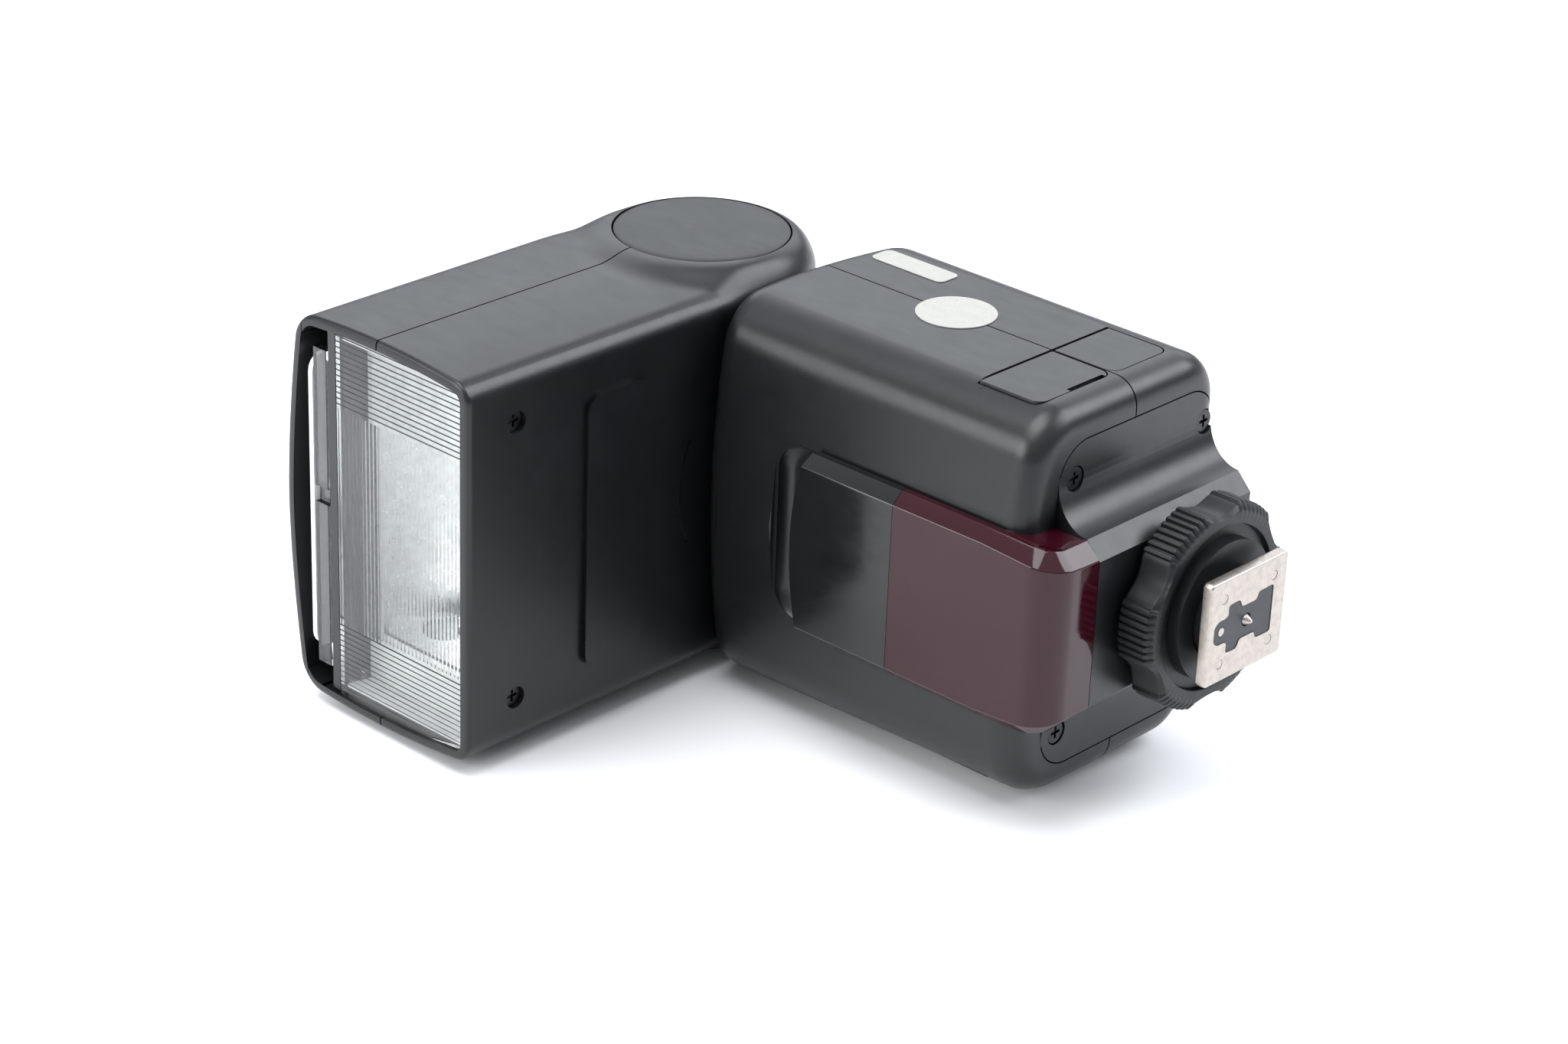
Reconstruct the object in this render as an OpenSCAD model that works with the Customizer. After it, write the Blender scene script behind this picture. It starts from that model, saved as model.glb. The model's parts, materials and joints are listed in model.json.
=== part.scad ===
// Speedlight flash, lying on its right side with the head pointing forward.
// Every piece is drawn upright (z from the shoe foot to the head, lens towards -y, left side towards +x),
// and lay() turns it on its side about the centre of the shoe foot's outer face.

/* [Body] */
// Width of the body
body_w = 71.6; // [68:0.1:86]
// Distance from the foot's centre line to the body's front face
body_front = 32; // [31:0.1:40]
// Distance from the foot's centre line to the body's rear face
body_rear = 19.5; // [19:0.1:26]
// Height of the body's top above the foot's outer face
body_top = 95.4; // [90:0.1:115]
// Height of the body's end face above the foot's outer face
body_end = 23; // [20:0.1:27]
// Wall of the body shells
wall = 2; // [1.6:0.1:2.4]
// Radius of the two front edges of the body
front_edge_r = 8; // [5:0.5:9]
// Radius of the two rear edges of the body
rear_edge_r = 9; // [7:0.5:11]
// Place of the line where the front and rear shells meet
shell_split = -3.7; // [-6:0.1:-2]

/* [Head] */
// Width of the head at its lower corners
head_w = 68.6; // [64:0.1:72]
// Height of the head at the middle of its front
head_h = 45.9; // [44:0.1:56]
// Distance from the foot's centre line to the head's front rim
head_front = 84.1; // [76:0.1:100]
// Wall of the head shells
head_wall = 1.8; // [1.4:0.1:2.2]
// Height of the seam between the lower and upper head shells, above the underside
head_seam = 22.1; // [21.5:0.1:26]
// Height of the lens above the head's underside
lens_top = 33.2; // [31:0.1:36]

/* [Hinge] */
// Distance from the foot's centre line back to the swivel axis
swivel_back = 10; // [8:0.1:11]
// Radius of the hinge barrel at the back of the head
boss_r = 20.3; // [19:0.1:25]
// Radius of the round hinge caps
cap_r = 15.8; // [13:0.1:16.4]
// Distance between the outer faces of the two hinge caps
overall_w = 75; // [74:0.1:90]
// Width of the neck block between the two hinge halves
neck_w = 34.4; // [28:0.1:38]
// Thickness of the neck block
neck_d = 22.8; // [18:0.1:24]
// Radius of the tilt axle
axle_r = 4; // [3:0.1:5]
// Radial running clearance of shafts and pins
running = 0.05; // [0.02:0.01:0.1]
// Gap between moving pieces
gap = 0.5; // [0.3:0.05:0.8]

/* [Window and panel] */
// Half the width of the flat front of the window and panel
panel_hw = 14.9; // [12:0.1:17]
// How far the window and panel stand out of the body's front face
panel_proud = 2.7; // [1.5:0.1:3.2]
// Height of the joint between the window and the panel
window_top = 47.6; // [42:0.1:54]
// Height of the panel's upper end
panel_top = 70; // [66:0.1:72]
// Height of the upper end of the recess round the panel
recess_top = 77; // [75:0.1:82]

/* [Foot] */
// Width of the shoe foot
foot_w = 18.6; // [18.5:0.01:18.7]
// Length of the shoe foot
foot_l = 20.4; // [18:0.1:22]
// Thickness of the shoe foot's plate
foot_t = 2; // [1.9:0.01:2.1]
// Height of the lower face of the foot cover's raised middle
plateau_z = 13.6; // [12.8:0.1:15]
// Half the width of the raised middle
plateau_hw = 12.6; // [11:0.1:13.5]
// Half the width of the foot cover
cover_hw = 29.7; // [28:0.1:30]
// Radius of the lock ring
ring_r = 18.3; // [16:0.1:20]
// Thickness of the lock ring
ring_t = 6.8; // [5:0.1:7.2]
// Radius of the clamp disc
disc_r = 12.4; // [11:0.1:13.4]
// Travel of the clamp disc towards the foot
clamp_travel = 1.2; // [0.8:0.1:1.4]

/* [Cells] */
// Diameter of an AA cell
cell_d = 14.5; // [14:0.1:15]
// Length of an AA cell
cell_l = 50.5; // [48:0.1:51]

/* [Controls] */
// Travel of a push button
press = 0.8; // [0.5:0.1:1]
// Travel of the power switch
switch_travel = 4; // [3:0.1:5]
// Height of a port cover
flap_h = 12.9; // [12:0.1:15]

/* [Hidden] */
$fn = 48;

// Body
body_hw = body_w / 2;
recess_hw = panel_hw + panel_proud - 0.4;
front_turn = 76;
slope_run = body_hw - front_edge_r + front_edge_r * cos(front_turn) - recess_hw;
front_edge_y = -body_front + front_edge_r * sin(front_turn) + slope_run * cos(front_turn) / sin(front_turn);
crown = 2.1;
top_front = body_top - 1.4;
top_rear = body_top - 2.8;
end_front_r = 3;
end_rear_r = 4;
end_side_r = 5.5;
top_front_r = 4.5;
top_rear_r = 6;
top_side_r = 3;
fit = 0.15;
inner_front = -body_front + wall;
inner_rear = body_rear - wall;
inner_side = body_hw - wall;

// Window and panel
seat_depth = 0.9;
panel_front = -body_front - panel_proud;
panel_back = -body_front + seat_depth;
bevel = recess_hw - fit - panel_hw;
window_turn_r = 6;
window_end_y = -22.8;
scoop_depth = 3.2;
scoop_r = 6;

// Foot
cove_x = plateau_hw + body_end - plateau_z;
cove_r = body_end - plateau_z;
cover_y0 = window_end_y + fit;
cover_y1 = body_rear - 1.6;
screw_x = 23.3;
screw_y0 = -18.6;
screw_y1 = body_rear - 4.2;
screw_r = 1.05;
screw_head_r = 1.95;
stem_r = 8.2;
ring_z0 = plateau_z - 0.9 - ring_t;
disc_t = 2.4;
hollow_depth = 1.9;
knurl_depth = 0.6;
disc_z0 = ring_z0 - disc_t + 1;
stem_key = 6.6;
stem_floor = 3;
pin_y = -6.7;
lock_pin_r = 0.75;
contact_r = 1.1;
rivet_x = 5.9;
rivet_y = 6.6;

// Hinge and head
tilt_y = -swivel_back;
under = body_top + gap;
tilt_z = under + boss_r;
head_hw = head_w / 2;
side_bulge = 1.3;
side_flare = 0.6;
low_r = 3.4;
top_r = 4.6;
head_shoulder = under + head_h - 2.6;
head_top = under + head_h;
seam_z = under + head_seam;
cover_z = under + head_h - 4.9;
cover_y = -22;
cap_x = overall_w / 2;
cap_t = 2.2;
boss_edge = 5.5;
boss_x = cap_x - 0.4;
neck_hw = neck_w / 2;
neck_hd = neck_d / 2;
barrel_r = boss_r - 3;
slot_hw = neck_hw + 0.6;
slot_hd = neck_hd + 1;
slot_r = barrel_r + 0.7;
shield_t = 1.8;
cheek_t = 2.5;
bush_r = axle_r + 3;
pivot_r = neck_hd;
socket_r = pivot_r + 2.1;
socket_z0 = body_top - 11.2;
axle_x = boss_x - boss_edge - 0.6;

// Lens, reflector and tube
lens_t = 1.8;
lens_y = -head_front + 0.8;
lens_z = under + lens_top;
mouth_y = lens_y + lens_t + 0.2;
tube_y = -54.5;
mirror_depth = 31;
mirror_rise = (lens_top - head_wall) / 2 - 1.7;
mirror_z = under + head_wall + 1.7 + mirror_rise;
mirror_y = mouth_y + mirror_depth + 0.6;
mirror_hw = head_hw - 5.3;
mirror_t = 0.8;
tube_r = 1.8;
screw_hx = 25.4;
screw_hy = -head_front + 10.9;

// Slot for the wide panel and the bounce card
tray_z = lens_z + 0.2;
tray_t = 1.8;
wide_z = tray_z + tray_t + 0.4;
wide_t = 1.2;
wide_hw = head_hw - 4.8;
wide_lip = 3.4;
wide_y1 = -36;
card_z = wide_z + wide_lip + 0.4;
card_t = 1;
card_hw = head_hw - 6.8;
card_y1 = -30;

// Cells and door
cell_r = cell_d / 2;
cell_pitch = cell_d + 0.7;
cell_y = -4.8;
cell_z = 51.6;
cell_x0 = -inner_side + 3;
holder_gap = 0.25;
holder_rim = 1.4;
holder_half = cell_pitch / 2 + cell_r + holder_rim;
holder_x0 = cell_x0 - 0.1;
holder_x1 = cell_x0 + cell_l + 2.8;
door_t = 1.8;
door_y0 = cell_y - 16.2;
door_y1 = cell_y + 13.8;
door_z1 = cell_z + 19.4;
door_pin_z = body_end + 10;
door_knuckle = 1.5;
door_pin_r = 0.7;
door_x = -body_hw;
door_pin_x = door_x + door_knuckle + 0.1;
door_travel = 4;

// Port covers and jacks
flap_z0 = body_end + 5.3;
flap_z1 = flap_z0 + flap_h;
flap_t = 1.6;
flap_gap = 0.2;
flap_knuckle = 1.2;
flap_pin_r = 0.5;
flap_pin_x = body_hw - flap_knuckle - 0.1;
flap_pin_z = flap_z1 - flap_knuckle;
flap_depth = 2.6;
sync_y0 = -22.2;
sync_y1 = shell_split - 0.3;
power_y0 = shell_split + 0.3;
power_y1 = body_rear - rear_edge_r + 0.3;
jack_z = flap_z0 + 5.2;
jack_x = body_hw - flap_depth;
jack_l = 9;
sync_jack_y = -12;
power_jack_y = 3.2;

sticker_t = 0.15;

// Rear controls
plate_hw = 26;
plate_z0 = body_end + 13;
plate_z1 = body_top - 13.4;
plate_t = 1.1;
plate_y = body_rear - 0.8;
button_top = body_rear + 1.2;
button_r = 4;
small_r = 3;
button_fit = 0.3;
flange_t = 1;
board_t = 1.6;
board_y = cell_y + holder_half + 0.4;
test_at = [0, body_end + 24];
mode_at = [-15, body_end + 35];
plus_at = [15, body_end + 40];
minus_at = [15, body_end + 30];
switch_at = [-15, body_end + 20];
lamp_at = [0, body_end + 33];
led_z = body_end + 50;
led_pitch = 5;
led_r = 1;

// Outlines

function arc(c, r, a0, a1, n) =
  [for (k = [0:n]) c + r * [cos(a0 + (a1 - a0) * k / n), sin(a0 + (a1 - a0) * k / n)]];

// Points between p and q that bow out to the right of the way from p to q
function bow(p, q, rise, n) =
  let (d = q - p, u = [d[1], -d[0]] / norm(d))
  [for (k = [1:n - 1]) p + k / n * d + 4 * k / n * (1 - k / n) * rise * u];

function mirrored(pts) = concat(pts, [for (k = [len(pts) - 1:-1:0]) [-pts[k][0], pts[k][1]]]);

function rounded(x0, y0, x1, y1, r, n = 5) = concat(
  arc([x0 + r, y0 + r], r, 180, 270, n),
  arc([x1 - r, y0 + r], r, 270, 360, n),
  arc([x1 - r, y1 - r], r, 0, 90, n),
  arc([x0 + r, y1 - r], r, 90, 180, n)
);

function body_plan(i) = mirrored(concat(
  [[recess_hw, -body_front + i]],
  arc([body_hw - front_edge_r, front_edge_y], front_edge_r - i, -front_turn, 0, 6),
  arc([body_hw - rear_edge_r, body_rear - rear_edge_r], rear_edge_r - i, 0, 90, 7)
));

function body_side(i) =
  let (
    back = arc([body_rear - top_rear_r, top_rear - top_rear_r], top_rear_r - i, 0, 80, 4),
    front = arc([-body_front + top_front_r, top_front - top_front_r], top_front_r - i, 100, 180, 4)
  )
  concat(
    arc([-body_front + end_front_r, body_end + end_front_r], end_front_r - i, 180, 270, 3),
    arc([body_rear - end_rear_r, body_end + end_rear_r], end_rear_r - i, 270, 360, 3),
    back,
    bow(back[4], front[0], crown, 6),
    front
  );

function body_ends(i) = mirrored(concat(
  arc([body_hw - end_side_r, body_end + end_side_r], end_side_r - i, -90, 0, 4),
  arc([body_hw - top_side_r, body_top - top_side_r], top_side_r - i, 0, 90, 3)
));

function head_outline(i) =
  let (
    low = arc([head_hw - low_r, under + low_r], low_r - i, -90, 0, 4),
    high = arc([head_hw + side_flare - top_r, head_shoulder - top_r], top_r - i, 0, 82, 4)
  )
  mirrored(concat(low, bow(low[4], high[0], side_bulge, 6), high, bow(high[4], [0, head_top - i], 0.6, 5)));

function head_side(i) = concat(
  [[-head_front - (i > 0 ? 2 : 0), under + i], [tilt_y, under + i]],
  [[tilt_y, tilt_z + boss_r - i]],
  bow([tilt_y, tilt_z + boss_r - i], [tilt_y - 18, head_top + 0.2 - i], 0.9, 4),
  [[tilt_y - 18, head_top + 0.2 - i], [-head_front - (i > 0 ? 2 : 0), head_top + 0.2 - i]]
);

// Turning and placing

module lay() rotate([0, -90, 0]) children();
module along_x(x0, x1) translate([x0, 0, 0]) rotate([90, 0, 90]) linear_extrude(x1 - x0) children();
module along_y(y0, y1) translate([0, y1, 0]) rotate([90, 0, 0]) linear_extrude(y1 - y0) children();
module along_z(z0, z1) translate([0, 0, z0]) linear_extrude(z1 - z0) children();
module block(a, b) translate(a) cube(b - a);
module rod_x(x0, x1, y, z, r) translate([x0, y, z]) rotate([0, 90, 0]) cylinder(r = r, h = x1 - x0);
module rod_y(y0, y1, x, z, r) translate([x, y0, z]) rotate([-90, 0, 0]) cylinder(r = r, h = y1 - y0);
module rod_z(z0, z1, x, y, r) translate([x, y, z0]) cylinder(r = r, h = z1 - z0);
module both_sides() { children(); mirror([1, 0, 0]) children(); }

// Body shells

module body_form(i) intersection() {
  along_z(body_end - 1, body_top + 1) polygon(body_plan(i));
  along_x(-body_hw - 1, body_hw + 1) polygon(body_side(i));
  along_y(-body_front - 1, body_rear + 1) polygon(body_ends(i));
}

module cover_outline(i) polygon(rounded(-cover_hw + i, cover_y0 + i, cover_hw - i, cover_y1 - i, 7 - i));

// The end face dips in a hollow curve on each side of its raised middle
module raised_middle(y0, y1) difference() {
  block([-cove_x, y0, plateau_z], [cove_x, y1, body_end + wall]);
  both_sides() rod_y(y0 - 1, y1 + 1, cove_x, plateau_z, cove_r);
}

module panel_recess() along_y(-body_front - 1, panel_back)
  polygon(rounded(-recess_hw, plateau_z - 8, recess_hw, recess_top, scoop_r));

module scoop() along_y(-body_front - 1, -body_front + scoop_depth)
  polygon(rounded(-recess_hw + 0.8, panel_top - 8, recess_hw - 0.8, recess_top - 0.8, scoop_r - 0.8));

module window_hole() block([-panel_hw + 1, -body_front - 2, plateau_z - 1], [panel_hw - 1, inner_front + 1, window_top - 1.5]);

module port_pockets() {
  block([body_hw - flap_depth, sync_y0 - flap_gap, flap_z0 - flap_gap], [body_hw + 1, sync_y1 + flap_gap, flap_z1 + 0.4]);
  block([body_hw - flap_depth, power_y0 - flap_gap, flap_z0 - flap_gap], [body_hw + 1, power_y1 + flap_gap, flap_z1 + 0.4]);
  rod_x(body_hw - flap_depth - 5, body_hw, sync_jack_y, jack_z, 4.1);
  rod_x(body_hw - flap_depth - 5, body_hw, power_jack_y, jack_z, 4.6);
  rod_y(sync_y0 - 1.2, power_y1 + 1.2, flap_pin_x, flap_pin_z, flap_pin_r + 0.02);
}

module port_floor() block([body_hw - flap_depth - 1.2, sync_y0 - 1.8, flap_z0 - 1.5], [body_hw - 1, power_y1 + 1.8, flap_z1 + 1.8]);

module door_pocket() {
  block([door_x - 1, door_y0 - flap_gap, door_pin_z - 4.5], [door_x + door_t + 0.15, door_y1 + flap_gap, door_z1 + flap_gap]);
  block([door_x - 1, door_y0 - flap_gap, door_pin_z - 8], [door_x + 3.4, door_y1 + flap_gap, door_pin_z + 3]);
  block([door_x - 1, cell_y - holder_half + 1, cell_z - holder_half + 1], [-inner_side + 4, cell_y + holder_half - 1, cell_z + holder_half - 1]);
}

module door_floor() block([door_x + 1, door_y0 - 1.5, door_pin_z - 7], [door_x + 4.8, door_y1 + 1.5, door_pin_z + 5]);

// Each screw post is tied to the side wall by a rib
module screw_posts(y) both_sides() {
  rod_z(body_end + wall - 0.5, body_end + 7, screw_x, y, 2.8);
  block([screw_x, y - 0.8, body_end + wall - 0.5], [inner_side + 0.5, y + 0.8, body_end + 7]);
}
module screw_bores(y) both_sides() rod_z(body_end, body_end + 8, screw_x, y, screw_r + running);

module plate_seat() along_y(plate_y, body_rear + 1) polygon(rounded(-plate_hw - fit, plate_z0 - fit, plate_hw + fit, plate_z1 + fit, 4));

module control_holes(grow) {
  for (at = [test_at, mode_at]) rod_y(inner_rear - 4, body_rear + 2, at[0], at[1], button_r + grow);
  for (at = [plus_at, minus_at]) rod_y(inner_rear - 4, body_rear + 2, at[0], at[1], small_r + grow);
  rod_y(inner_rear - 4, body_rear + 2, lamp_at[0], lamp_at[1], led_r + grow / 2);
  for (k = [-3.5:3.5]) rod_y(inner_rear - 4, body_rear + 2, k * led_pitch, led_z, led_r + grow / 2);
  along_y(inner_rear - 4, body_rear + 2)
    translate(switch_at) square([6 + switch_travel + 2 * grow, 3 + 2 * grow], center = true);
}

module body_skin() difference() {
  union() {
    difference() {
      body_form(0);
      body_form(wall);
    }
    intersection() {
      body_form(0);
      union() {
        screw_posts(screw_y0);
        screw_posts(screw_y1);
        port_floor();
        door_floor();
        block([-recess_hw - 1.5, -body_front + 0.5, panel_top - 9], [recess_hw + 1.5, -body_front + scoop_depth + 1.4, recess_top + 1.4]);
      }
    }
    difference() {
      raised_middle(-body_front + 1.6, cover_y0 - fit);
      block([-recess_hw, -body_front - 1, plateau_z - 1], [recess_hw, 0, body_end + wall + 1]);
    }
  }
  along_z(body_end - 20, body_end + wall + 0.02) cover_outline(-fit);
  screw_bores(screw_y0);
  screw_bores(screw_y1);
  panel_recess();
  scoop();
  window_hole();
  port_pockets();
  door_pocket();
  plate_seat();
  control_holes(button_fit);
  rod_z(body_top - 8, body_top + 2, 0, tilt_y, socket_r + fit);
}

module front_shell() color([0.11, 0.11, 0.12]) lay() intersection() {
  body_skin();
  block([-60, -60, 0], [60, shell_split, body_top + 5]);
}

module rear_shell() color([0.12, 0.12, 0.13]) lay() intersection() {
  body_skin();
  block([-60, shell_split, 0], [60, 60, body_top + 5]);
}

module foot_cover() color([0.1, 0.1, 0.11]) lay() difference() {
  union() {
    along_z(body_end, body_end + wall) cover_outline(0);
    raised_middle(cover_y0, cover_y1 - 0.8);
  }
  block([-plateau_hw + 2.2, cover_y0 + 2.2, plateau_z + 2.2], [plateau_hw - 2.2, cover_y1 - 3, body_end + wall + 1]);
  rod_z(plateau_z - 1, plateau_z + 4, 0, 0, stem_r + running);
  for (y = [screw_y0, screw_y1]) both_sides() {
    rod_z(body_end - 1, body_end + 1.2, screw_x, y, screw_head_r + 0.25);
    rod_z(body_end - 1, body_end + wall + 1, screw_x, y, screw_r + running);
  }
}

module cross_head(z, r) difference() {
  rod_z(z, z + 1, 0, 0, r);
  for (a = [0, 90]) rotate([0, 0, a]) block([-1.1, -0.28, z - 1], [1.1, 0.28, z + 0.5]);
}

module foot_cover_screws() color([0.16, 0.16, 0.17]) lay()
  for (y = [screw_y0, screw_y1]) both_sides() translate([screw_x, y, 0]) {
    cross_head(body_end + 0.2, screw_head_r);
    rod_z(body_end + 1.2, body_end + 6.5, 0, 0, screw_r);
  }

// Window and panel

module bevelled_bar(z0, z1) along_z(z0, z1) polygon(mirrored([
  [panel_hw, panel_front], [panel_hw + bevel, panel_front + bevel], [panel_hw + bevel, 0]
]));

module front_panel() color([0.04, 0.04, 0.05]) lay() intersection() {
  bevelled_bar(window_top + 0.05, panel_top);
  block([-40, panel_front, window_top], [40, panel_back - 0.05, panel_top]);
  rod_y(-50, 0, 0, panel_top - 60, 60);
}

module sensor_window() color([0.35, 0.02, 0.07, 0.75]) lay() intersection() {
  bevelled_bar(plateau_z, window_top - 0.05);
  along_y(-60, 0) polygon(mirrored([
    [panel_hw - 1.5, plateau_z], [recess_hw - fit, plateau_z + bevel + 1.5], [recess_hw - fit, window_top]
  ]));
  along_x(-40, 40) polygon(concat(
    arc([panel_front + window_turn_r, plateau_z + window_turn_r], window_turn_r, 180, 270, 6),
    [[window_end_y, plateau_z], [window_end_y, plateau_z + panel_back - panel_front]],
    arc([panel_front + window_turn_r, plateau_z + window_turn_r], window_turn_r + panel_front - panel_back, 270, 180, 6),
    [[panel_back - 0.05, window_top], [panel_front, window_top]]
  ));
}

module slave_sensor() color([0.25, 0.22, 0.28]) lay() {
  block([-4, inner_front + 1.4, body_end + 5], [4, inner_front + 4, body_end + 13]);
  rod_y(inner_front - 0.4, inner_front + 1.4, 0, body_end + 9, 2.5);
  block([-panel_hw + 0.8, inner_front + 4, body_end + 3.2], [panel_hw - 0.8, inner_front + 5.2, window_top - 3]);
}

module assist_lamp() color([0.8, 0.75, 0.7]) lay() for (x = [-7, 7]) {
  rod_y(inner_front + 1.6, inner_front + 4, x, body_end + 19, 2.3);
  translate([x, inner_front + 1.6, body_end + 19]) sphere(r = 2.3);
}

// Foot

module hot_shoe_plate() color([0.72, 0.7, 0.68]) lay() difference() {
  along_z(0, foot_t) polygon(rounded(-foot_w / 2, -foot_l / 2, foot_w / 2, foot_l / 2, 0.7, 2));
  along_z(-1, foot_t + 1) insert_outline(fit / 3);
  for (x = [-rivet_x, rivet_x], y = [-rivet_y, rivet_y]) rod_z(-1, foot_t + 1, x, y, 0.85);
}

// The insert is a bar with a wider head and foot and a round lobe for the locking pin
module insert_outline(g) union() {
  square([5.6 + 2 * g, 13 + 2 * g], center = true);
  translate([0, 4.6]) square([8.4 + 2 * g, 4.2 + 2 * g], center = true);
  translate([0, -3.6]) square([8.4 + 2 * g, 3.4 + 2 * g], center = true);
  translate([0, pin_y]) circle(r = 2 + g);
}

module shoe_insert() color([0.28, 0.29, 0.3]) lay() difference() {
  along_z(0.05, foot_t) insert_outline(0);
  rod_z(-1, foot_t + 1, 0, 0, contact_r + running);
  rod_z(-1, foot_t + 1, 0, pin_y, lock_pin_r + running);
}

module shoe_rivets() color([0.66, 0.64, 0.62]) lay()
  for (x = [-rivet_x, rivet_x], y = [-rivet_y, rivet_y]) rod_z(0.05, foot_t, x, y, 0.8);

module shoe_stem() color([0.09, 0.09, 0.1]) lay() difference() {
  union() {
    intersection() {
      rod_z(foot_t, disc_z0 + disc_t + 0.2, 0, 0, stem_r);
      block([-stem_key, -20, 0], [stem_key, 20, 20]);
    }
    rod_z(disc_z0 + disc_t + 0.02, plateau_z + 2.2, 0, 0, stem_r);
    rod_z(plateau_z + 2.2, plateau_z + 4.6, 0, 0, stem_r + 1.6);
  }
  rod_z(foot_t - 1, plateau_z + 3, 0, 0, contact_r + running);
  rod_z(foot_t + stem_floor, plateau_z + 3, 0, 0, contact_r + 0.9);
  rod_z(foot_t - 1, plateau_z + 6, 0, pin_y, lock_pin_r + running);
}

module contact_spring() color([0.8, 0.75, 0.55]) lay() difference() {
  rod_z(foot_t + stem_floor + 1.5, plateau_z + 2.9, 0, 0, contact_r + 0.8);
  rod_z(0, 40, 0, 0, contact_r);
}

module centre_contact() color([0.8, 0.8, 0.8]) lay() {
  translate([0, 0, -1]) cylinder(r1 = 0.25, r2 = contact_r, h = 1.6);
  rod_z(0.6, foot_t + stem_floor + 0.3, 0, 0, contact_r);
  rod_z(foot_t + stem_floor + 0.3, foot_t + stem_floor + 0.8, 0, 0, contact_r + 0.8);
}

module locking_pin() color([0.6, 0.6, 0.6]) lay()
  rod_z(0.1, plateau_z + 2, 0, pin_y, lock_pin_r);

module clamp_disc() color([0.07, 0.07, 0.08]) lay() difference() {
  rod_z(disc_z0, disc_z0 + disc_t, 0, 0, disc_r);
  intersection() {
    rod_z(disc_z0 - 1, disc_z0 + disc_t + 1, 0, 0, stem_r + 0.3);
    block([-stem_key - 0.3, -20, 0], [stem_key + 0.3, 20, 20]);
  }
}

// Six knurled lobes with a smooth finger hollow between each two
function ring_outline() = [for (lobe = [0:5]) each concat(
  [for (t = [0:0.2:1]) ring_point(hollow_depth * (0.5 + sin(180 * t)) / 1.5, 60 * lobe + 22 * (t - 0.5))],
  [for (ridge = [0:6], p = [[0.1, 1], [0.3, 0], [0.7, 0], [0.9, 1]])
    ring_point(knurl_depth * p[1], 60 * lobe + 12 + 36 * (ridge + p[0]) / 7)]
)];

function ring_point(depth, angle) = (ring_r - depth) * [cos(angle), sin(angle)];

module lock_ring() color([0.16, 0.16, 0.17]) lay() difference() {
  along_z(ring_z0, ring_z0 + ring_t) polygon(ring_outline());
  rod_z(ring_z0 - 1, ring_z0 + 1.05, 0, 0, disc_r + 2.1);
  rod_z(ring_z0 - 1, ring_z0 + ring_t + 1, 0, 0, stem_r + 0.08);
}

// Ports

module sync_jack() color([0.2, 0.2, 0.2]) lay() difference() {
  rod_x(jack_x - jack_l, jack_x, sync_jack_y, jack_z, 4);
  rod_x(jack_x - jack_l + 1, jack_x + 1, sync_jack_y, jack_z, 1.75);
}

module power_jack() color([0.14, 0.14, 0.14]) lay() {
  difference() {
    rod_x(jack_x - jack_l, jack_x, power_jack_y, jack_z, 4.5);
    rod_x(jack_x - jack_l + 1, jack_x + 1, power_jack_y, jack_z, 2.8);
  }
  rod_x(jack_x - jack_l + 0.5, jack_x - 1, power_jack_y, jack_z, 0.85);
}

module port_cover_pins() color([0.6, 0.6, 0.6]) lay() {
  rod_y(sync_y0 - 1, sync_y1 + flap_gap - 0.05, flap_pin_x, flap_pin_z, flap_pin_r);
  rod_y(power_y0 - flap_gap + 0.05, power_y1 + 1, flap_pin_x, flap_pin_z, flap_pin_r);
}

module flap(y0, y1, nail) difference() {
  union() {
    intersection() {
      block([body_hw - flap_t, y0, flap_z0], [body_hw - 0.02, y1, flap_pin_z]);
      along_x(0, body_hw + 1) polygon(rounded(y0, flap_z0, y1, flap_z1 + 6, 2.2, 4));
    }
    rod_y(y0, y1, flap_pin_x, flap_pin_z, flap_knuckle);
  }
  rod_y(y0 - 1, y1 + 1, flap_pin_x, flap_pin_z, flap_pin_r + running);
  if (nail) block([body_hw - 0.8, y0 + 7.6, flap_z0 - 1], [body_hw + 1, y1 - 1.6, flap_z0 + 0.9]);
}

module sync_port_cover() color([0.11, 0.11, 0.12]) lay() flap(sync_y0, sync_y1, true);
module power_port_cover() color([0.12, 0.12, 0.13]) lay() flap(power_y0, power_y1, false);

// Cells and door

module at_cells() for (y = [-0.5, 0.5], z = [-0.5, 0.5])
  translate([0, cell_y + y * cell_pitch, cell_z + z * cell_pitch]) children();

module battery_holder() color([0.15, 0.15, 0.16]) lay() difference() {
  block([holder_x0, cell_y - holder_half, cell_z - holder_half], [holder_x1, cell_y + holder_half, cell_z + holder_half]);
  at_cells() rod_x(-inner_side - 1, holder_x1 - 1.4, 0, 0, cell_r + holder_gap);
}

module battery_cells() color([0.7, 0.72, 0.74]) lay() at_cells() {
  rod_x(cell_x0, cell_x0 + cell_l - 1, 0, 0, cell_r);
  rod_x(cell_x0 + cell_l - 1, cell_x0 + cell_l, 0, 0, 2.75);
}

module cell_springs() color([0.78, 0.72, 0.5]) lay() at_cells() difference() {
  rod_x(cell_x0 + cell_l + 0.2, holder_x1 - 1.4, 0, 0, 4.5);
  rod_x(cell_x0 + cell_l, holder_x1, 0, 0, 1.8);
}

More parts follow.
